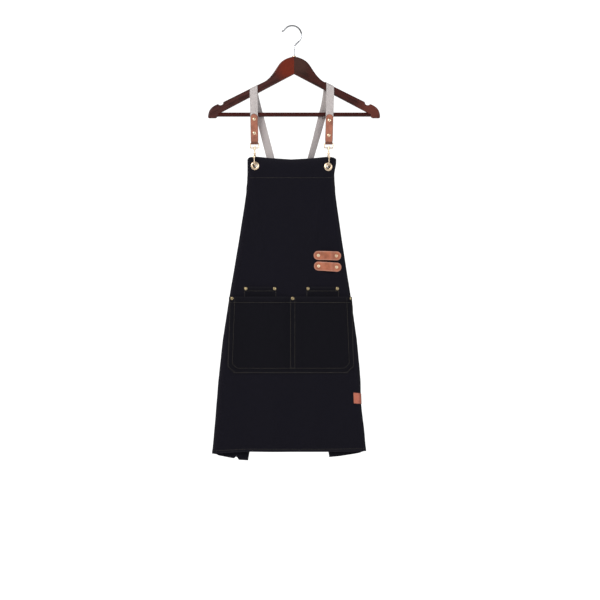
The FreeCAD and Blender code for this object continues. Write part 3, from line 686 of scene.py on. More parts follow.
def flap_drop(rest, h, x, sign):
    """How far the flap's hem hangs below the fold's own line."""
    at_hem = smooth_step((-1050 - h) / 49)
    if sign > 0:
        return at_hem * (1.8 * smooth_step(rest / 10) - 0.09 * max(0.0, rest - 60))
    beyond = max(0.0, x - NICK_X)
    drop = 2.2 * smooth_step(rest / 8) + 2.6 * smooth_step(beyond / 4) - 0.10 * beyond
    return at_hem * (drop - 7.5 * math.exp(-((x - NICK_X + 0.5) / 3.0) ** 2))


print("fold leans", round(math.degrees(fold_lean(-700)), 1), "degrees at the pocket's mouth")

# %% [markdown]
# ## From the flat cut to its place
# `hang` carries a point of the flat cut, `s` from the middle line and `h` high, to its place. A
# simulation would find nearly the same shape, because the folds are set by where the cloth is
# pinned, so the shape is worked out directly. `on_front` does the same for a point that is given by
# where it is seen from the front, which is how pockets and rivets are placed.

# %% Hang a point
def hang(s, h, lift=0.0):
    """The place of a point of the flat cut, lifted off the cloth's outer face."""
    radius, lean = roll(s, h), fold_lean(h)
    flat = table(h, HALF) - radius
    out = abs(s)
    turn = min(max(0.0, (out - flat) / radius), math.pi)
    rest = max(0.0, out - flat - math.pi * radius)
    x = min(out, flat) + radius * math.sin(turn) - rest * math.cos(2 * lean)
    y = radius * (1 - math.cos(turn))
    z = h - radius * (turn - math.sin(turn)) * math.sin(lean) - rest * math.sin(2 * lean)
    x += lift * math.sin(turn)
    y -= lift * math.cos(turn)
    sign = math.copysign(1, s)
    world_x = middle(h) + sign * x
    # the waves die out round the fold
    y += drape(s, h) * 0.5 * (1 + math.cos(turn))
    if rest > 0:
        y -= flap_sag(rest, table(h, CUT) - flat - math.pi * radius, h, sign)
        z -= flap_drop(rest, h, world_x, sign)
    z += float(np.interp(s, *HEM_LINE)) * smooth_step((-800 - h) / 299)
    # the bib's right corner stands out a little past its side
    world_x += 4.5 * smooth_step((s - 85) / 28) * smooth_step((h + 385) / 35)
    # the label's stiff leather draws the right fold in
    world_x -= 3.2 * math.exp(-((h + 975) / 48) ** 2) * smooth_step((s - 110) / 70)
    return Vector((world_x, FRONT + y, z))


def on_front(x, h, lift=0.0):
    """The same, for a point given by where it is seen from the front."""
    s = x - middle(h)
    half, radius = table(h, HALF), roll(s, h)
    beyond = abs(s) - (half - radius)
    if beyond > 0:
        s = math.copysign(half - radius + radius * math.asin(min(0.98, beyond / radius)), s)
    return hang(s, h, lift)


print("a point of the hem:", [round(c) for c in hang(-CUT_HALF / 2, HEM)])

# %% [markdown]
# ## The apron's cloth
# The grid is fine enough to roll round the folds. The bib's upper edge dips between the eyelets and
# its corners are rounded, so the top rows bend to that line. Hems are the cloth turned over once
# more: the grid swells a little along every edge.

# %% Draw the cloth's rule
CLOTH_THICK = 0.9
HEM_WIDE = 9.0
BEND_FROM = 0.9
# places across and heights of the bib's upper edge
BIB_EDGE = np.array([(-113, -346.5), (-111, -341.5), (-106, -338.3), (-93, -336.6), (-52, -340.6),
                     (0, -344), (52, -341.3), (96, -337.0), (107, -339.4), (112, -343.2), (114, -348.5)])


def bib_edge(s):
    return float(np.interp(s, BIB_EDGE[:, 0], BIB_EDGE[:, 1]))


def hem_swell(to_edge):
    """How much the turned-over hem adds, at a distance from the cloth's edge."""
    return 0.45 * smooth_step((HEM_WIDE + 2 - to_edge) / 3)


def cloth_rule(u, v):
    level = HEM + (BIB_LEVEL - HEM) * v
    s = (2 * u - 1) * table(level, CUT)
    bend = smooth_step((v - BEND_FROM) / (1 - BEND_FROM))
    h = level + (bib_edge(s) - BIB_LEVEL) * bend
    to_edge = min((1 - abs(2 * u - 1)) * table(level, CUT), level - HEM)
    return hang(s, h, hem_swell(to_edge)), (s, h)


def cloth_wear(u, v):
    """The dye is rubbed along the edges and down the folds."""
    h = HEM + (BIB_LEVEL - HEM) * v
    s = abs(2 * u - 1) * table(h, CUT)
    to_edge = min(table(h, CUT) - s, h - HEM, (1 - v) * 200)
    at_fold = abs(s - table(h, HALF) + 2)
    return max(math.exp(-to_edge / 1.6), 0.55 * math.exp(-(at_fold / 6) ** 2))


print("the bib's edge dips", round(bib_edge(-93) - bib_edge(0), 1), "mm")

# %% [markdown]
# ## Hanging the cloth
# The grid is hung by its rule and given its thickness. Then a round cutter opens each eyelet's hole
# where the frame has the eyelet, so that the barrel goes through the cloth.

# %% Hang the cloth
BARREL_HOLE = 6.25
CUTTER_LONG = 30


def bore(obj, place, radius):
    """A round hole along Y through a piece; the place is in metres."""
    deselect_all()
    bpy.ops.mesh.primitive_cylinder_add(vertices=48, radius=radius * MM, depth=CUTTER_LONG * MM,
                                        location=place, rotation=(math.radians(90), 0, 0))
    cutter = bpy.context.object
    apply_modifier(obj, "BOOLEAN", operation="DIFFERENCE", object=cutter, solver="EXACT")
    bpy.data.objects.remove(cutter)


eyelets = {}
for side in SIDES:
    low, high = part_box("eyelet_" + side)
    eyelets[side] = (Vector(low) + Vector(high)) / 2
apron = cloth_grid("apron_cloth", 150, 170, cloth_rule, cloth_wear)
apply_modifier(apron, "SOLIDIFY", thickness=CLOTH_THICK * MM, offset=-1)
for centre in eyelets.values():
    bore(apron, centre, BARREL_HOLE)
finish_piece(apron, canvas, replaces=("apron_panel",), angle=60)

# %% [markdown]
# ## The bib's facing
# The bib's top hem is turned in by about 54 mm. It shows from behind as a second layer, and from above as
# a rounded double edge. Behind each eyelet the second layer is only pierced where the clasp's ring
# comes through, so its dark cloth fills the eyelet's hole: a dark sheet as painted shade, where a real
# eyelet would be open.

# %% Add the facing
FACING_WIDE, FACING_DEEP = 221, 53.5
FACING_FOOT = -391.5
THIN_CLOTH = 0.75
# where the clasp's ring comes through, from the eyelet's centre
RING_CROSSING = {"left": Vector((0.9, 0, 1.5)), "right": Vector((-0.9, 0, 1.5))}
RING_HOLE = 3.4


def facing_rule(u, v):
    s = (u - 0.5) * FACING_WIDE
    edge = bib_edge(s) - 1.2
    h = edge - (edge - FACING_FOOT) * (1 - v)
    return hang(s, h, -CLOTH_THICK - 0.12), (s + 20, h)


facing = cloth_grid("bib_facing_cloth", 70, 16, facing_rule)
apply_modifier(facing, "SOLIDIFY", thickness=THIN_CLOTH * MM, offset=-1)
# painted shade: the facing is left across the eyelet's hole, pierced only for the ring, so the hole reads
# dark
for side, centre in eyelets.items():
    bore(facing, centre + RING_CROSSING[side] * MM, RING_HOLE)
finish_piece(facing, canvas, replaces=("bib_facing",), angle=60)

# %% [markdown]
# ## Pockets
# A pocket is a panel sewn down on three sides. It lies on the cloth along its seams, and between
# them it stands off a little, most of all at the mouth. The big one is sewn down its middle too,
# so it fills like two bags. Its foot is wider than its mouth, and its lower corners are cut off.

# %% Sew on the pockets
pocket_low, pocket_high = box_mm("main_pocket")
POCKET_MOUTH_IN = 7.5
POCKET_CORNER = 18
MID_SEAM = (-9, 2)
POCKET_HEM = 15


def pocket_sides(h):
    """Left and right edge of the double pocket at a height, with the cut corners."""
    down = (pocket_high.z - h) / (pocket_high.z - pocket_low.z)
    spread = POCKET_MOUTH_IN * (1 - down)
    corner = max(0.0, POCKET_CORNER - (h - pocket_low.z))
    return pocket_low.x + spread + corner, pocket_high.x - spread - corner


def pocket_lift(x, h):
    """Height of the double pocket's face over the cloth below it."""
    left, right = pocket_sides(h)
    seam = sum(MID_SEAM) / 2
    to_seam = min(x - left, right - x, h - pocket_low.z, max(0.0, abs(x - seam) - 5.5))
    puff = 1.9 * smooth_step(to_seam / 16)
    bag = (left, seam - 6) if x < seam else (seam + 6, right)
    share = min(1, max(0, (x - bag[0]) / (bag[1] - bag[0])))
    mouth = 3.6 * math.sin(math.pi * share) ** 0.7 * smooth_step((h - pocket_high.z + 120) / 120) ** 1.5
    return 1.35 + puff + mouth


def pocket_surface(x, h):
    """The face's height with the mouth's hem and the turned-in edges."""
    left, right = pocket_sides(h)
    hem = 0.55 * smooth_step((h - pocket_high.z + POCKET_HEM + 1.5) / 3)
    tucked = 0.35 * smooth_step((9 - min(x - left, right - x, h - pocket_low.z)) / 3)
    return pocket_lift(x, h) + hem + tucked


def pocket_rule(u, v):
    h = pocket_low.z + (pocket_high.z - pocket_low.z) * v
    left, right = pocket_sides(h)
    x = left + (right - left) * u
    return on_front(x, h, pocket_surface(x, h)), (x + 400, h)


def pocket_wear(u, v):
    return max(math.exp(-min(u, 1 - u) * 160), math.exp(-v * 90), math.exp(-(1 - v) * 90))


pocket = cloth_grid("double_pocket", 120, 78, pocket_rule, pocket_wear)
apply_modifier(pocket, "SOLIDIFY", thickness=CLOTH_THICK * MM, offset=-1)
finish_piece(pocket, pocket_canvas, replaces=("main_pocket",), angle=60)

# %% [markdown]
# ## Pen pockets
# Two narrow pockets stand above the big one and end behind it. Each is a plain panel with a hemmed
# mouth, and it bows out a little at the mouth.

# %% Sew on the pen pockets
PEN_HEM = 9
pen_boxes = {side: box_mm("tool_pocket_" + side) for side in SIDES}


def pen_lift(side, x, h):
    """Height of a pen pocket's face over the cloth below it."""
    low, high = pen_boxes[side]
    share = (x - low.x) / (high.x - low.x)
    return 1.0 + 1.6 * math.sin(math.pi * share) ** 0.7 * smooth_step((h - high.z + 40) / 40)


def pen_surface(side, x, h):
    return pen_lift(side, x, h) + 0.27 * smooth_step((h - pen_boxes[side][1].z + PEN_HEM) / 2.5)


for side, (low, high) in pen_boxes.items():
    def pen_rule(u, v):
        x = low.x + (high.x - low.x) * u
        h = low.z + (high.z - low.z) * v
        return on_front(x, h, pen_surface(side, x, h)), (x - 400, h)

    pen_pocket = cloth_grid("pen_pocket_" + side, 30, 44, pen_rule, pocket_wear)
    apply_modifier(pen_pocket, "SOLIDIFY", thickness=THIN_CLOTH * MM, offset=-1)
    finish_piece(pen_pocket, pocket_canvas, replaces=("tool_pocket_" + side,), angle=60)

# %% [markdown]
# ## The line of each strap
# Each strap is one length of webbing. It starts in the leather tab, goes up the front of the arm,
# over its rounded top and down behind, and then slants across the back to the flap's corner. The
# right strap twists by 40 degrees and back on its way down, as loose straps do. The line is a list
# of places, each with its twist and with how far the webbing follows the arm's slope.

# %% Lay out the straps
STRAP_THICK = 1.15
STRAP_DEPTH = -8.0
STRAP_LEAN = {"left": math.tan(math.radians(-1.0)), "right": math.tan(math.radians(1.5))}
ARM_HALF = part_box("hanger_arm_left")[1][1] / MM
STRAP_OFF = ARM_HALF + 0.3 + STRAP_THICK / 2
ROUND_OVER = 4.2
# the arm's top edge passes this place, across and high, and falls this much per millimetre
SHOULDER_X, SHOULDER_Z, SHOULDER_FALL = 82.7, -146, 0.4960
STRAP_START = -297
# where each strap meets the arm's front and its back
STRAP_X = {"left": (-104.4, -104.8), "right": (93.4, 87.0)}
# behind the arm: place, twist in degrees, share of the arm's slope
REAR_RUN = {
    "left": [(-104.4, STRAP_OFF, -172, 0, 0.8), (-100.5, 8.2, -188, 0, 0.2), (-96.0, 8.2, -205, 0, 0),
             (-61.8, 9.4, -337, 0, 0), (-34, 10.6, -444, 0, 0), (-8, 12.2, -544, 0, 0),
             (24, 18.4, -668, 0, 0), (31.5, 19.9, -697, 0, 0), (37.6, 20.0, -721, 0, 0)],
    "right": [(86.2, STRAP_OFF, -166, 0, 0.8), (83.2, 8.3, -185, 0, 0.2), (79.6, 8.6, -205, 3, 0),
              (57, 11.2, -290, 34, 0), (43.7, 12.6, -337, 40, 0), (18, 15.0, -440, 18, 0),
              (-8, 16.4, -544, 4, 0), (-39, 18.9, -668, 0, 0), (-46.4, 19.9, -697, 0, 0),
              (-52.4, 20.0, -721, 0, 0)]}


def strap_route(side):
    """Places down the strap's middle: (point, twist in degrees, share of the arm's slope)."""
    eye = eyelets[side] / MM
    front_x, rear_x = STRAP_X[side]
    inward = abs((front_x + rear_x) / 2) - SHOULDER_X
    top = SHOULDER_Z - SHOULDER_FALL * inward + (0.3 + STRAP_THICK / 2) / math.cos(SHOULDER_SLOPE)
    route = []
    for z in np.linspace(STRAP_START, top - 34, 16):
        route.append(((eye.x + STRAP_LEAN[side] * (z - eye.z), STRAP_DEPTH, z), 0, 0))
    for step in range(1, 5):
        route.append(((front_x, -STRAP_OFF, top - 34 + step * 7), 0, smooth_step(step / 4)))
    # a quarter turn over the arm's front edge, then one over its rear edge
    for quarter in (-1, 1):
        for step in range(9):
            a = math.radians(90) * (step / 8 if quarter < 0 else 1 - step / 8)
            y = quarter * (STRAP_OFF - ROUND_OVER * (1 - math.cos(a)))
            z = top - ROUND_OVER * (1 - math.sin(a))
            route.append(((front_x + (rear_x - front_x) * (0.5 + y / 2 / STRAP_OFF), y, z), 0, 1))
    return route + [((x, y, z), twist, show) for x, y, z, twist, show in REAR_RUN[side]]


print("the straps stand", round(STRAP_OFF, 2), "mm off the hanger's middle")

# %% [markdown]
# ## Webbing straps
# The line is measured along its length and divided evenly, and its corners are eased. A long grid
# is then laid on it: the rows follow the line, and the width lies level except where it twists or
# follows the arm's slope. The webbing's edges are bevelled, because its selvedge is firm and round.

# %% Run the straps
def strap_frame(side, count):
    """The route divided evenly: length so far, point, direction, twist and slope share."""
    route = strap_route(side)
    points = np.array([r[0] for r in route])
    steps = np.concatenate([[0], np.cumsum(np.linalg.norm(np.diff(points, axis=0), axis=1))])
    even = np.linspace(0, steps[-1], count)
    line = np.stack([np.interp(even, steps, points[:, i]) for i in range(3)], axis=1)
    for _ in range(5):
        line[1:-1] = 0.25 * line[:-2] + 0.5 * line[1:-1] + 0.25 * line[2:]
    twist = np.interp(even, steps, [r[1] for r in route])
    show = np.interp(even, steps, [r[2] for r in route])
    tangent = np.gradient(line, axis=0)
    tangent /= np.linalg.norm(tangent, axis=1)[:, None]
    return even, line, tangent, twist, show


STRAP_STEPS = 300
OUTWARD = {"left": -1, "right": 1}
for side in SIDES:
    even, line, tangent, twist, show = strap_frame(side, STRAP_STEPS + 1)

    def strap_rule(u, v):
        i = int(round(v * STRAP_STEPS))
        t = Vector(tangent[i])
        level = Vector((1, 0, 0))
        across = (level - t * level.dot(t)).normalized()
        if abs(t.z) < 0.9 and abs(t.y) > 0.5:
            across = level
        across = Matrix.Rotation(math.radians(twist[i] * (-1 if t.z < 0 else 1)), 3, t) @ across
        w = (u - 0.5) * STRAP_WIDE
        point = Vector(line[i]) + across * w
        point.z -= show[i] * w * math.tan(SHOULDER_SLOPE) * OUTWARD[side]
        return point, (w, even[i])

    strap = cloth_grid("strap_" + side, 8, STRAP_STEPS, strap_rule)
    apply_modifier(strap, "SOLIDIFY", thickness=STRAP_THICK * MM, offset=0)
    apply_modifier(strap, "BEVEL", width=0.35 * MM, segments=2, limit_method="ANGLE",
                   angle_limit=math.radians(50))
    finish_piece(strap, webbing, replaces=("strap_front_" + side, "strap_rear_" + side))
    print(side, "strap", round(even[-1]), "mm long")

# %% [markdown]
# ## Leather strips
# Every leather piece is a strip cut from 1.1 to 1.6 mm hide. A cube is scaled to the strip, its
# corners are bevelled round, its faces are inset to mark the burnished rim, and bisecting cuts give
# it places to bend.

# %% Cut a flat strip
ROUND_STEPS = 7


def flat_strip(long, wide, thick, corner, cuts, rim_wide):
    """A flat strip with round corners, an inset rim and cuts across it where it will bend."""
    deselect_all()
    bpy.ops.mesh.primitive_cube_add(size=1)
    obj = bpy.context.object
    obj.scale = (long, thick, wide)
    bpy.ops.object.transform_apply(location=False, rotation=False, scale=True)
    mesh = obj.data
    bpy.ops.object.mode_set(mode="EDIT")
    bpy.ops.mesh.select_mode(type="EDGE")
    bpy.ops.mesh.select_all(action="DESELECT")
    bpy.ops.object.mode_set(mode="OBJECT")
    for edge in mesh.edges:
        a, b = [mesh.vertices[i].co for i in edge.vertices]
        edge.select = abs(a.y - b.y) > thick / 2
    bpy.ops.object.mode_set(mode="EDIT")
    bpy.ops.mesh.bevel(offset=min(corner, wide / 2 - 0.05), segments=ROUND_STEPS, affect="EDGES",
                       profile=0.5)
    bpy.ops.mesh.select_mode(type="FACE")
    bpy.ops.mesh.select_all(action="DESELECT")
    bpy.ops.object.mode_set(mode="OBJECT")
    for face in mesh.polygons:
        face.select = abs(face.normal.y) > 0.9
    bpy.ops.object.mode_set(mode="EDIT")
    bpy.ops.mesh.inset(thickness=rim_wide, depth=0)
    for x in cuts:
        bpy.ops.mesh.select_all(action="SELECT")
        bpy.ops.mesh.bisect(plane_co=(x, 0, 0), plane_no=(1, 0, 0))
    bpy.ops.object.mode_set(mode="OBJECT")
    return obj


print("corners are rounded in", ROUND_STEPS, "steps")

# %% [markdown]
# ## Bending a strip
# The attribute `rim` is written while the strip is flat, because the distance to its edge is simple
# there. Then every point is carried to its bent place by a rule, and the cut edges are eased.

# %% Bend a strip
RIM_WIDE = 1.5


def leather_strip(name, long, wide, thick, corner, cuts, place, material, replaces,
                  rim_wide=RIM_WIDE, fold_shade_half=0.0):
    """place(x, y, z) bends the flat strip, long in X, thick in Y, wide in Z. A stretch either side
    of its middle, as long as the last argument, takes the rim's colour: painted shade round a fold."""
    obj = flat_strip(long, wide, thick, corner, cuts, rim_wide)
    obj.name = name
    mesh = obj.data
    rim = []
    for vertex in mesh.vertices:
        x, z = abs(vertex.co.x), abs(vertex.co.z)
        inner_x, inner_z = long / 2 - corner, wide / 2 - corner
        if x > inner_x and z > inner_z:
            edge_gap = corner - math.hypot(x - inner_x, z - inner_z)
        else:
            edge_gap = min(long / 2 - x, wide / 2 - z)
        # painted shade: the stretch round the middle, where the tab folds round the wire, takes the rim
        # colour
        fold_shade = 1.0 if x < fold_shade_half else 0.0
        rim.append(max(fold_shade, 1.0 if edge_gap < rim_wide * 0.5 else 0.0))
    set_attribute(obj, "rim", rim)
    for vertex in mesh.vertices:
        vertex.co = Vector(place(*vertex.co)) * MM
    apply_modifier(obj, "BEVEL", width=0.3 * MM, segments=2, limit_method="ANGLE",
                   angle_limit=math.radians(55))
    finish_piece(obj, material, replaces, angle=35)


# %% [markdown]
# ## Strap tabs
# The tab's strip goes down the front, round the wire of the clasp's loop and up behind, and the
# webbing's end lies between its layers. Both ends of the strip are rounded. The fold is looser than
# the layers, so the path swells round the wire like a drop.

# %% Fold the tabs
TAB_THICK = 1.4
TAB_WIDE = 18.6
# half the distance between the layers' middles, and half the fold's width
TAB_GAP, TAB_FOLD = 1.3, 2.3
# the band either side of the tab's fold is painted shade in the rim's dark colour
TAB_FOLD_SHADE = 8.5


def tab_path(foot, top):
    """The folded strip's middle line in depth and height, as points."""
    points = [(-TAB_GAP, top), (-TAB_GAP, foot + 7.5), (-TAB_GAP - 0.35, foot + 4.5)]
    # the turn round the wire, from a little below one side to a little below the other
    for step in range(13):
        a = math.radians(195 + 150 * step / 12)
        points.append((TAB_FOLD * math.cos(a), foot + TAB_FOLD * math.sin(a)))
    points += [(TAB_GAP + 0.35, foot + 4.5), (TAB_GAP, foot + 7.5), (TAB_GAP, top)]
    return np.array(points)


for side in SIDES:
    low, high = box_mm("strap_tab_" + side)
    eye = eyelets[side] / MM
    path = tab_path(low.z + TAB_FOLD + 0.8, high.z)
    runs = np.concatenate([[0], np.cumsum(np.linalg.norm(np.diff(path, axis=0), axis=1))])
    long = runs[-1]

    def fold_tab(x, y, z):
        at = x + long / 2
        here = np.array([np.interp(at, runs, path[:, 0]), np.interp(at, runs, path[:, 1])])
        ahead = np.array([np.interp(min(long, at + 0.4), runs, path[:, i]) for i in range(2)])
        behind = np.array([np.interp(max(0, at - 0.4), runs, path[:, i]) for i in range(2)])
        way = (ahead - behind) / max(1e-6, np.linalg.norm(ahead - behind))
        spot = here + np.array([way[1], -way[0]]) * y
        drop = spot[1] - eye.z
        return (eye.x + z + drop * STRAP_LEAN[side], STRAP_DEPTH + spot[0], spot[1])

    fold_cuts = np.linspace(-11, 11, 19)
    leather_strip("tab_" + side, long, TAB_WIDE, TAB_THICK, TAB_WIDE / 2, fold_cuts, fold_tab,
                  tab_leather, ("strap_tab_" + side,), fold_shade_half=TAB_FOLD_SHADE)

# %% [markdown]
# ## Tool loops
# Two leather strips with round ends are riveted across the chest. Between the rivets each one bows
# out, so that a tool's handle slips behind it.

# %% Bow the tool loops
LOOP_LONG, LOOP_WIDE, LOOP_THICK = 70.8, 23.0, 1.6
LOOP_RIM = 3.4
BOW_REACH = 18.5
LOOP_DROOP = {"upper": math.radians(1.4), "lower": math.radians(3.6)}
for name, droop in LOOP_DROOP.items():
    low, high = box_mm("tool_loop_" + name)
    centre = (low + high) / 2
    bow = high.y - low.y - LOOP_THICK

    def bow_out(x, y, z):
        share = max(0.0, 1 - (abs(x) / BOW_REACH) ** 2)
        out = bow * smooth_step(share ** 0.8)
        px = centre.x + x * math.cos(droop) + z * math.sin(droop)
        pz = centre.z + z * math.cos(droop) - x * math.sin(droop)
        face = on_front(px, pz).y
        return (px, face - 0.1 - LOOP_THICK / 2 - out + y, pz)

    leather_strip("tool_loop_leather_" + name, LOOP_LONG, LOOP_WIDE, LOOP_THICK, LOOP_WIDE / 2,
                  np.linspace(-20, 20, 17), bow_out, loop_leather,
                  ("tool_loop_" + name,), rim_wide=LOOP_RIM)

# %% [markdown]
# ## Waist patches and the side label
# A leather square closes each strap's end on the flap's corner. The label is a plain blank slip
# that wraps the right-hand fold.

# %% Add the patches and the label
LABEL_LONG, LABEL_TALL, LABEL_THICK = 24.0, 28.0, 1.1
LABEL_TILT = 0.10
PATCH_THICK = 1.4
patch_middles = {}


def patch_dome(x, z):
    """The patch is pressed flat at its edges and stands up over the strap's end."""
    return 0.5 * math.cos(x / 11) * math.cos(z / 11) - 0.4


for side in SIDES:
    low, high = box_mm("waist_patch_" + side)
    centre = patch_middles[side] = (low + high) / 2

    def lay_patch(x, y, z):
        return (centre.x + x, centre.y + y + patch_dome(x, z), centre.z + z)

    leather_strip("patch_" + side, high.x - low.x, high.z - low.z, PATCH_THICK, 4.0,
                  np.linspace(-9, 9, 5), lay_patch, tab_leather,
                  ("waist_patch_" + side,))

low, high = box_mm("side_label")
label_h = (low.z + high.z) / 2


def wrap_label(x, y, z):
    h = label_h + z - x * LABEL_TILT
    start = table(h, HALF) - table(h, RADIUS) - 8
    return hang(start + x + LABEL_LONG / 2, h, 0.75 - y)


leather_strip("label", LABEL_LONG, LABEL_TALL, LABEL_THICK, 1.6, np.linspace(-9, 11, 15), wrap_label,
              label_leather, ("side_label",))

# %% [markdown]
# ## Rivets
# Each rivet is a turned thing: a domed cap with a thin rim in front, a post through the layers, and
# a flat cap behind. One filled circle is extruded and resized from ring to ring.

# %% Turn a shape
TURNED_SIDES = 28


def turned(name, rings, sides=TURNED_SIDES):
    """A closed turned shape along +Y from (radius, y) pairs, front first."""
    deselect_all()
    bpy.ops.mesh.primitive_circle_add(vertices=sides, radius=rings[0][0] * MM, fill_type="NGON",
                                      rotation=(math.radians(90), 0, 0), location=(0, rings[0][1] * MM, 0))
    obj = bpy.context.object
    obj.name = name
    bpy.ops.object.transform_apply()
    bpy.ops.object.mode_set(mode="EDIT")
    bpy.ops.mesh.select_mode(type="FACE")
    bpy.ops.mesh.select_all(action="SELECT")
    for (r0, y0), (r1, y1) in zip(rings, rings[1:]):
        bpy.ops.mesh.extrude_region_move(TRANSFORM_OT_translate={"value": (0, (y1 - y0) * MM, 0)})
        bpy.ops.transform.resize(value=(r1 / r0, 1, r1 / r0), center_override=(0, y1 * MM, 0))
    bpy.ops.mesh.select_all(action="SELECT")
    bpy.ops.mesh.normals_make_consistent(inside=False)
    bpy.ops.object.mode_set(mode="OBJECT")
    return obj


print("turned shapes have", TURNED_SIDES, "sides unless more are asked for")

# %% [markdown]
# ## Groups of rivets
# The places are read from the frame, where each group of rivets is one node and the rivets stand
# well apart. A rivet is turned for each place, moved there, and the group is joined.

# %% Rivet helpers
RIVET_POST = 1.4
RIVET_CAP = [(0.9, -1.75), (2.1, -1.62), (3.1, -1.28), (3.75, -0.82), (4.0, -0.5), (4.2, -0.42),
             (4.2, 0.0)]
RIVETS_APART = 12


def group_places(node):
    """The middle of each separate rivet in a node: (x, z) in millimetres."""
    mesh = frame["nodes"][node].data
    points = np.empty(len(mesh.vertices) * 3)
    mesh.vertices.foreach_get("co", points)
    points = points.reshape(-1, 3) / MM
    places = []
    while len(points):
        near = np.hypot(points[:, 0] - points[0, 0], points[:, 2] - points[0, 2]) < RIVETS_APART
        low, high = points[near].min(axis=0), points[near].max(axis=0)
        places.append(((low[0] + high[0]) / 2, (low[2] + high[2]) / 2))
        points = points[~near]
    return sorted(places)


def join_pieces(name, pieces):
    deselect_all()
    for piece in pieces:
        piece.select_set(True)
    bpy.context.view_layer.objects.active = pieces[0]
    if len(pieces) > 1:
        bpy.ops.object.join()
    pieces[0].name = name
    return pieces[0]


def rivet_group(name, node, face, depth, behind=False, metal=gold):
    """face(x, z) is the y that the cap sits on; depth is how thick the riveted layers are."""
    post = [(RIVET_POST, 0.05), (RIVET_POST, depth)]
    rear_cap = [(3.6, depth), (3.6, depth + 0.45), (2.9, depth + 0.75)]
    rivets = []
    for x, z in group_places(node):
        rivet = turned("rivet", RIVET_CAP + post + rear_cap)
        for vertex in rivet.data.vertices:
            if behind:
                vertex.co.y *= -1
            vertex.co += Vector((x, face(x, z), z)) * MM
        rivets.append(rivet)
    group = join_pieces(name, rivets)
    if behind:
        bpy.ops.object.mode_set(mode="EDIT")
        bpy.ops.mesh.select_all(action="SELECT")
        bpy.ops.mesh.normals_make_consistent(inside=False)
        bpy.ops.object.mode_set(mode="OBJECT")
    finish_piece(group, metal, replaces=(node,), angle=32)


print("rivet cap", 2 * max(radius for radius, _ in RIVET_CAP), "mm wide")

# %% [markdown]
# ## Where the rivets sit
# A rivet's cap sits on the face of what it fastens, so each group has a rule for the depth of that
# face. The two waist rivets have their domed caps behind, on the leather patches.

# %% Set the rivets
def pocket_face(x, z):
    return on_front(x, z, pocket_lift(x, z) + 0.75).y


def pen_pocket_face(x, z):
    side = "left" if x < MIDDLE_TOP else "right"
    return on_front(x, z, pen_lift(side, x, z) + 0.3).y


def tool_loop_face(x, z):
    return on_front(x, z).y - LOOP_THICK - 0.15


def tab_face(x, z):
    return STRAP_DEPTH - TAB_GAP - TAB_THICK / 2 - 0.02


patch_back = box_mm("waist_patch_left")[1].y


def patch_face(x, z):
    return patch_back + 0.15


rivet_group("rivets_pocket", "pocket_rivets", pocket_face, 3.2, metal=aged_brass)
rivet_group("rivets_pen_pockets", "tool_pocket_rivets", pen_pocket_face, 2.9, metal=aged_brass)
rivet_group("rivets_tool_loops", "tool_loop_rivets", tool_loop_face, 3.4)
for side in SIDES:
    rivet_group("rivets_tab_" + side, "tab_rivets_" + side, tab_face, 2 * TAB_GAP + TAB_THICK)
rivet_group("rivets_waist", "waist_rivets", patch_face, 5.2, behind=True)

# %% [markdown]
# ## Eyelets
# The front of an eyelet is pressed into a round bead, so that it shines on one side and is dark on
# the other. The bead and its barrel are turned like a rivet and then bored through.

# %% Turn the eyelets
EYELET_HOLE = 5.5
EYELET_BARREL = 6.2
BEAD = [(6.0, -1.1), (6.6, -1.45), (7.6, -1.62), (8.7, -1.5), (9.7, -1.15), (10.5, -0.65),
        (10.9, -0.2), (10.9, 0.0)]
for side, centre in eyelets.items():
    barrel_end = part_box("eyelet_" + side)[1][1] / MM - FRONT
    barrel = [(EYELET_BARREL, 0.0), (EYELET_BARREL, barrel_end)]
    bead = turned("eyelet_bead_" + side, BEAD + barrel, sides=48)
    for vertex in bead.data.vertices:
        vertex.co += Vector((centre.x, FRONT * MM, centre.z))
    bore(bead, centre, EYELET_HOLE)
    finish_piece(bead, gold, replaces=("eyelet_" + side,), angle=40)

# %% [markdown]
# ## Stitches
# A lockstitch shows as a row of short raised bars, each sunk a little at its ends. One bar is
# modelled from a small sphere and repeated along every seam, turned to the seam and to the cloth
# under it, so that the rows catch the light as thread does. A seam is a line on a piece's own
# pattern: `place(a, b, lift)` gives the point on the cloth.

# %% Stitch helpers
STITCH_PITCH = 4.0
STITCH_LONG = 3.1
STITCH_ROUND = 0.34
STITCH_OFF = 0.10


def stitch_shape():
    """Points and faces of one stitch, lying along X with +Z up."""
    deselect_all()
    bpy.ops.mesh.primitive_uv_sphere_add(segments=6, ring_count=4, radius=1)
    obj = bpy.context.object
    bpy.ops.object.mode_set(mode="EDIT")
    bpy.ops.mesh.select_all(action="SELECT")
    bpy.ops.transform.rotate(value=math.radians(90), orient_axis="Y", center_override=(0, 0, 0))
    bpy.ops.transform.resize(value=(STITCH_LONG / 2, STITCH_ROUND, STITCH_ROUND * 0.8))
    bpy.ops.object.mode_set(mode="OBJECT")
    points = np.array([vertex.co for vertex in obj.data.vertices])
    faces = [tuple(face.vertices) for face in obj.data.polygons]
    bpy.data.objects.remove(obj)
    return points, faces


STITCH_POINTS, STITCH_FACES = stitch_shape()


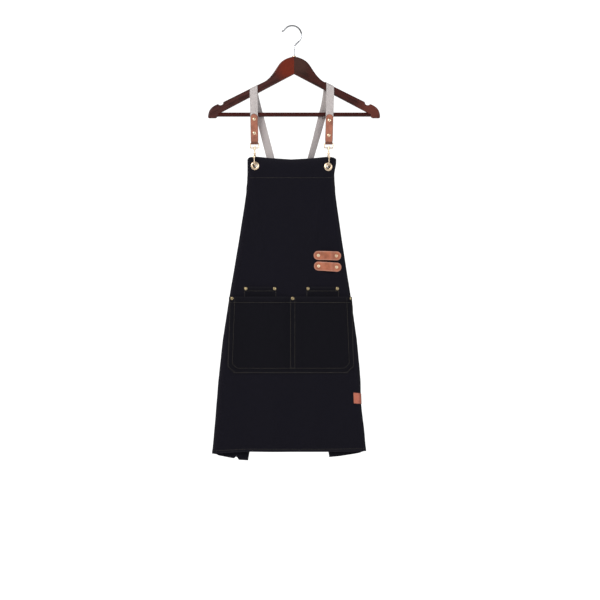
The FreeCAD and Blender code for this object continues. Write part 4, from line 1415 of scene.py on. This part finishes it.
def sew(name, seams, material, slot, pitch=STITCH_PITCH, grow=1.0):
    """Stitches along seams: (place, [(a, b), ...]) with straight runs on the pattern."""
    points, faces = [], []
    for place, corners in seams:
        for (a0, b0), (a1, b1) in zip(corners, corners[1:]):
            long = math.hypot(a1 - a0, b1 - b0)
            count = max(1, round(long / pitch))
            for i in range(count):
                spots = [(a0 + (a1 - a0) * t, b0 + (b1 - b0) * t)
                         for t in ((i + 0.2) / count, (i + 0.5) / count, (i + 0.8) / count)]
                before, here, after = [place(a, b, 0.0) for a, b in spots]
                up = (place(*spots[1], 1.0) - here).normalized()
                along = (after - before).normalized()
                across = up.cross(along).normalized()
                axes = np.array([along * grow, across, up])
                centre = np.array(here)
                offset = len(points) * len(STITCH_POINTS)
                points.append(STITCH_POINTS @ axes + centre)
                faces += [tuple(v + offset for v in face) for face in STITCH_FACES]
    mesh = bpy.data.meshes.new(name)
    mesh.from_pydata((np.concatenate(points) * MM).tolist(), [], faces)
    obj = bpy.data.objects.new(name, mesh)
    bpy.context.collection.objects.link(obj)
    finish_piece(obj, material, angle=80)
    print(name, "has", len(points), "stitches")


# %% [markdown]
# ## Where the seams run
# The hems are sewn 7 mm in from the edge. The double pocket has two rows round its edge, a pair down
# its middle with a bar across the foot, and one row under its mouth. The pen pockets have single
# rows.

# %% Sew the seams
SEAM_IN = 7
BIB_SEAM = 106.5


def cloth_place(s, h, lift):
    to_edge = min(table(h, CUT) - abs(s), h - HEM)
    return hang(s, h, lift + STITCH_OFF + hem_swell(to_edge))


def bib_place(s, h, lift):
    return hang(s, h, lift + STITCH_OFF)


def side_seam(sign):
    """Down the cut's curved side, as the table gives it, and then straight to the hem."""
    curved = [(sign * (cut - SEAM_IN), h) for h, _, _, cut in HANG[::-1] if -676 <= h <= -400]
    straight = sign * (CUT_HALF - SEAM_IN)
    return curved + [(straight, -690), (straight, HEM + SEAM_IN)]


cloth_seams = [(bib_place, [(-107, FACING_FOOT), (107, FACING_FOOT)]),
               (bib_place, [(-BIB_SEAM, -349), (-BIB_SEAM, -391)]),
               (bib_place, [(BIB_SEAM, -349), (BIB_SEAM, -391)]),
               (cloth_place, [(SEAM_IN - CUT_HALF, HEM + SEAM_IN), (CUT_HALF - SEAM_IN, HEM + SEAM_IN)]),
               (cloth_place, side_seam(-1)), (cloth_place, side_seam(1))]
sew("stitches_apron", cloth_seams, olive_thread, "cloth")


# %% [markdown]
# ## The double pocket's seams
# The row round a pocket is made twice, once near the edge and once further in, so `pocket_row` works
# out the line for any distance, with the corners cut off like the pocket's own.

# %% Sew the double pocket
ROW_NEAR, ROW_FAR = 2.6, 13.5
SEAM_TOP = 1.5
BAR_UP = 14


def pocket_place(x, h, lift):
    return on_front(x, h, pocket_surface(x, h) + STITCH_OFF + lift)


def pocket_row(inset):
    """The line round the pocket's sides and foot, inset from the edge."""
    top, foot = pocket_high.z - SEAM_TOP, pocket_low.z + inset
    cut = POCKET_CORNER - inset * 0.4
    corner = foot + cut
    left_top, right_top = pocket_sides(top)
    left_low, right_low = pocket_sides(corner)
    return [(left_top + inset, top), (left_low + inset, corner), (left_low + inset + cut, foot),
            (right_low - inset - cut, foot), (right_low - inset, corner), (right_top - inset, top)]


hem_line = pocket_high.z - POCKET_HEM
hem_left, hem_right = pocket_sides(hem_line)
bar_line = pocket_low.z + BAR_UP
pocket_lines = [pocket_row(ROW_NEAR), pocket_row(ROW_FAR),
                [(hem_left + 1, hem_line), (hem_right - 1, hem_line)]]
for x in MID_SEAM:
    pocket_lines.append([(x, pocket_high.z - SEAM_TOP), (x, bar_line)])
pocket_lines.append([(x, bar_line) for x in MID_SEAM])
sew("stitches_pocket", [(pocket_place, line) for line in pocket_lines], olive_thread, "cloth")

# %% [markdown]
# ## Seams of the pen pockets and the leather
# A pen pocket has one row round it and one under its hem. The label has a row along each end, and a
# patch has a square of stitches round its rivet. Leather is sewn with shorter stitches in tan.

# %% Sew the pen pockets, the label and the patches
PEN_ROW = 2.4
LEATHER_STITCH = {"pitch": 3.2, "grow": 0.8}
PATCH_ROW = 10.5
pen_seams = []
for side, (low, high) in pen_boxes.items():
    def pen_place(x, h, lift, side=side):
        return on_front(x, h, pen_surface(side, x, h) + STITCH_OFF + lift)

    top, foot, under = high.z - 1, low.z + PEN_ROW, high.z - PEN_HEM - SEAM_TOP
    pen_seams += [(pen_place, [(low.x + PEN_ROW, top), (low.x + PEN_ROW, foot),
                               (high.x - PEN_ROW, foot), (high.x - PEN_ROW, top)]),
                  (pen_place, [(low.x + 1, under), (high.x - 1, under)])]
sew("stitches_pen_pockets", pen_seams, olive_thread, "cloth")


def label_place(x, z, lift):
    return wrap_label(x, -LABEL_THICK / 2 - lift, z)


end_x, end_z = LABEL_LONG / 2 - 2, LABEL_TALL / 2 - 2
label_seams = [(label_place, [(x, -end_z), (x, end_z)]) for x in (-end_x, end_x)]
sew("stitches_label", label_seams, tan_thread, "label_leather", **LEATHER_STITCH)

square = [(PATCH_ROW * a, PATCH_ROW * b) for a, b in ((-1, -1), (1, -1), (1, 1), (-1, 1), (-1, -1))]
patch_seams = []
for centre in patch_middles.values():
    def patch_place(x, z, lift, centre=centre):
        face = PATCH_THICK / 2 + patch_dome(x, z) + STITCH_OFF + lift
        return Vector((centre.x + x, centre.y + face, centre.z + z))

    patch_seams.append((patch_place, square))
sew("stitches_patches", patch_seams, tan_thread, "tab_leather", **LEATHER_STITCH)
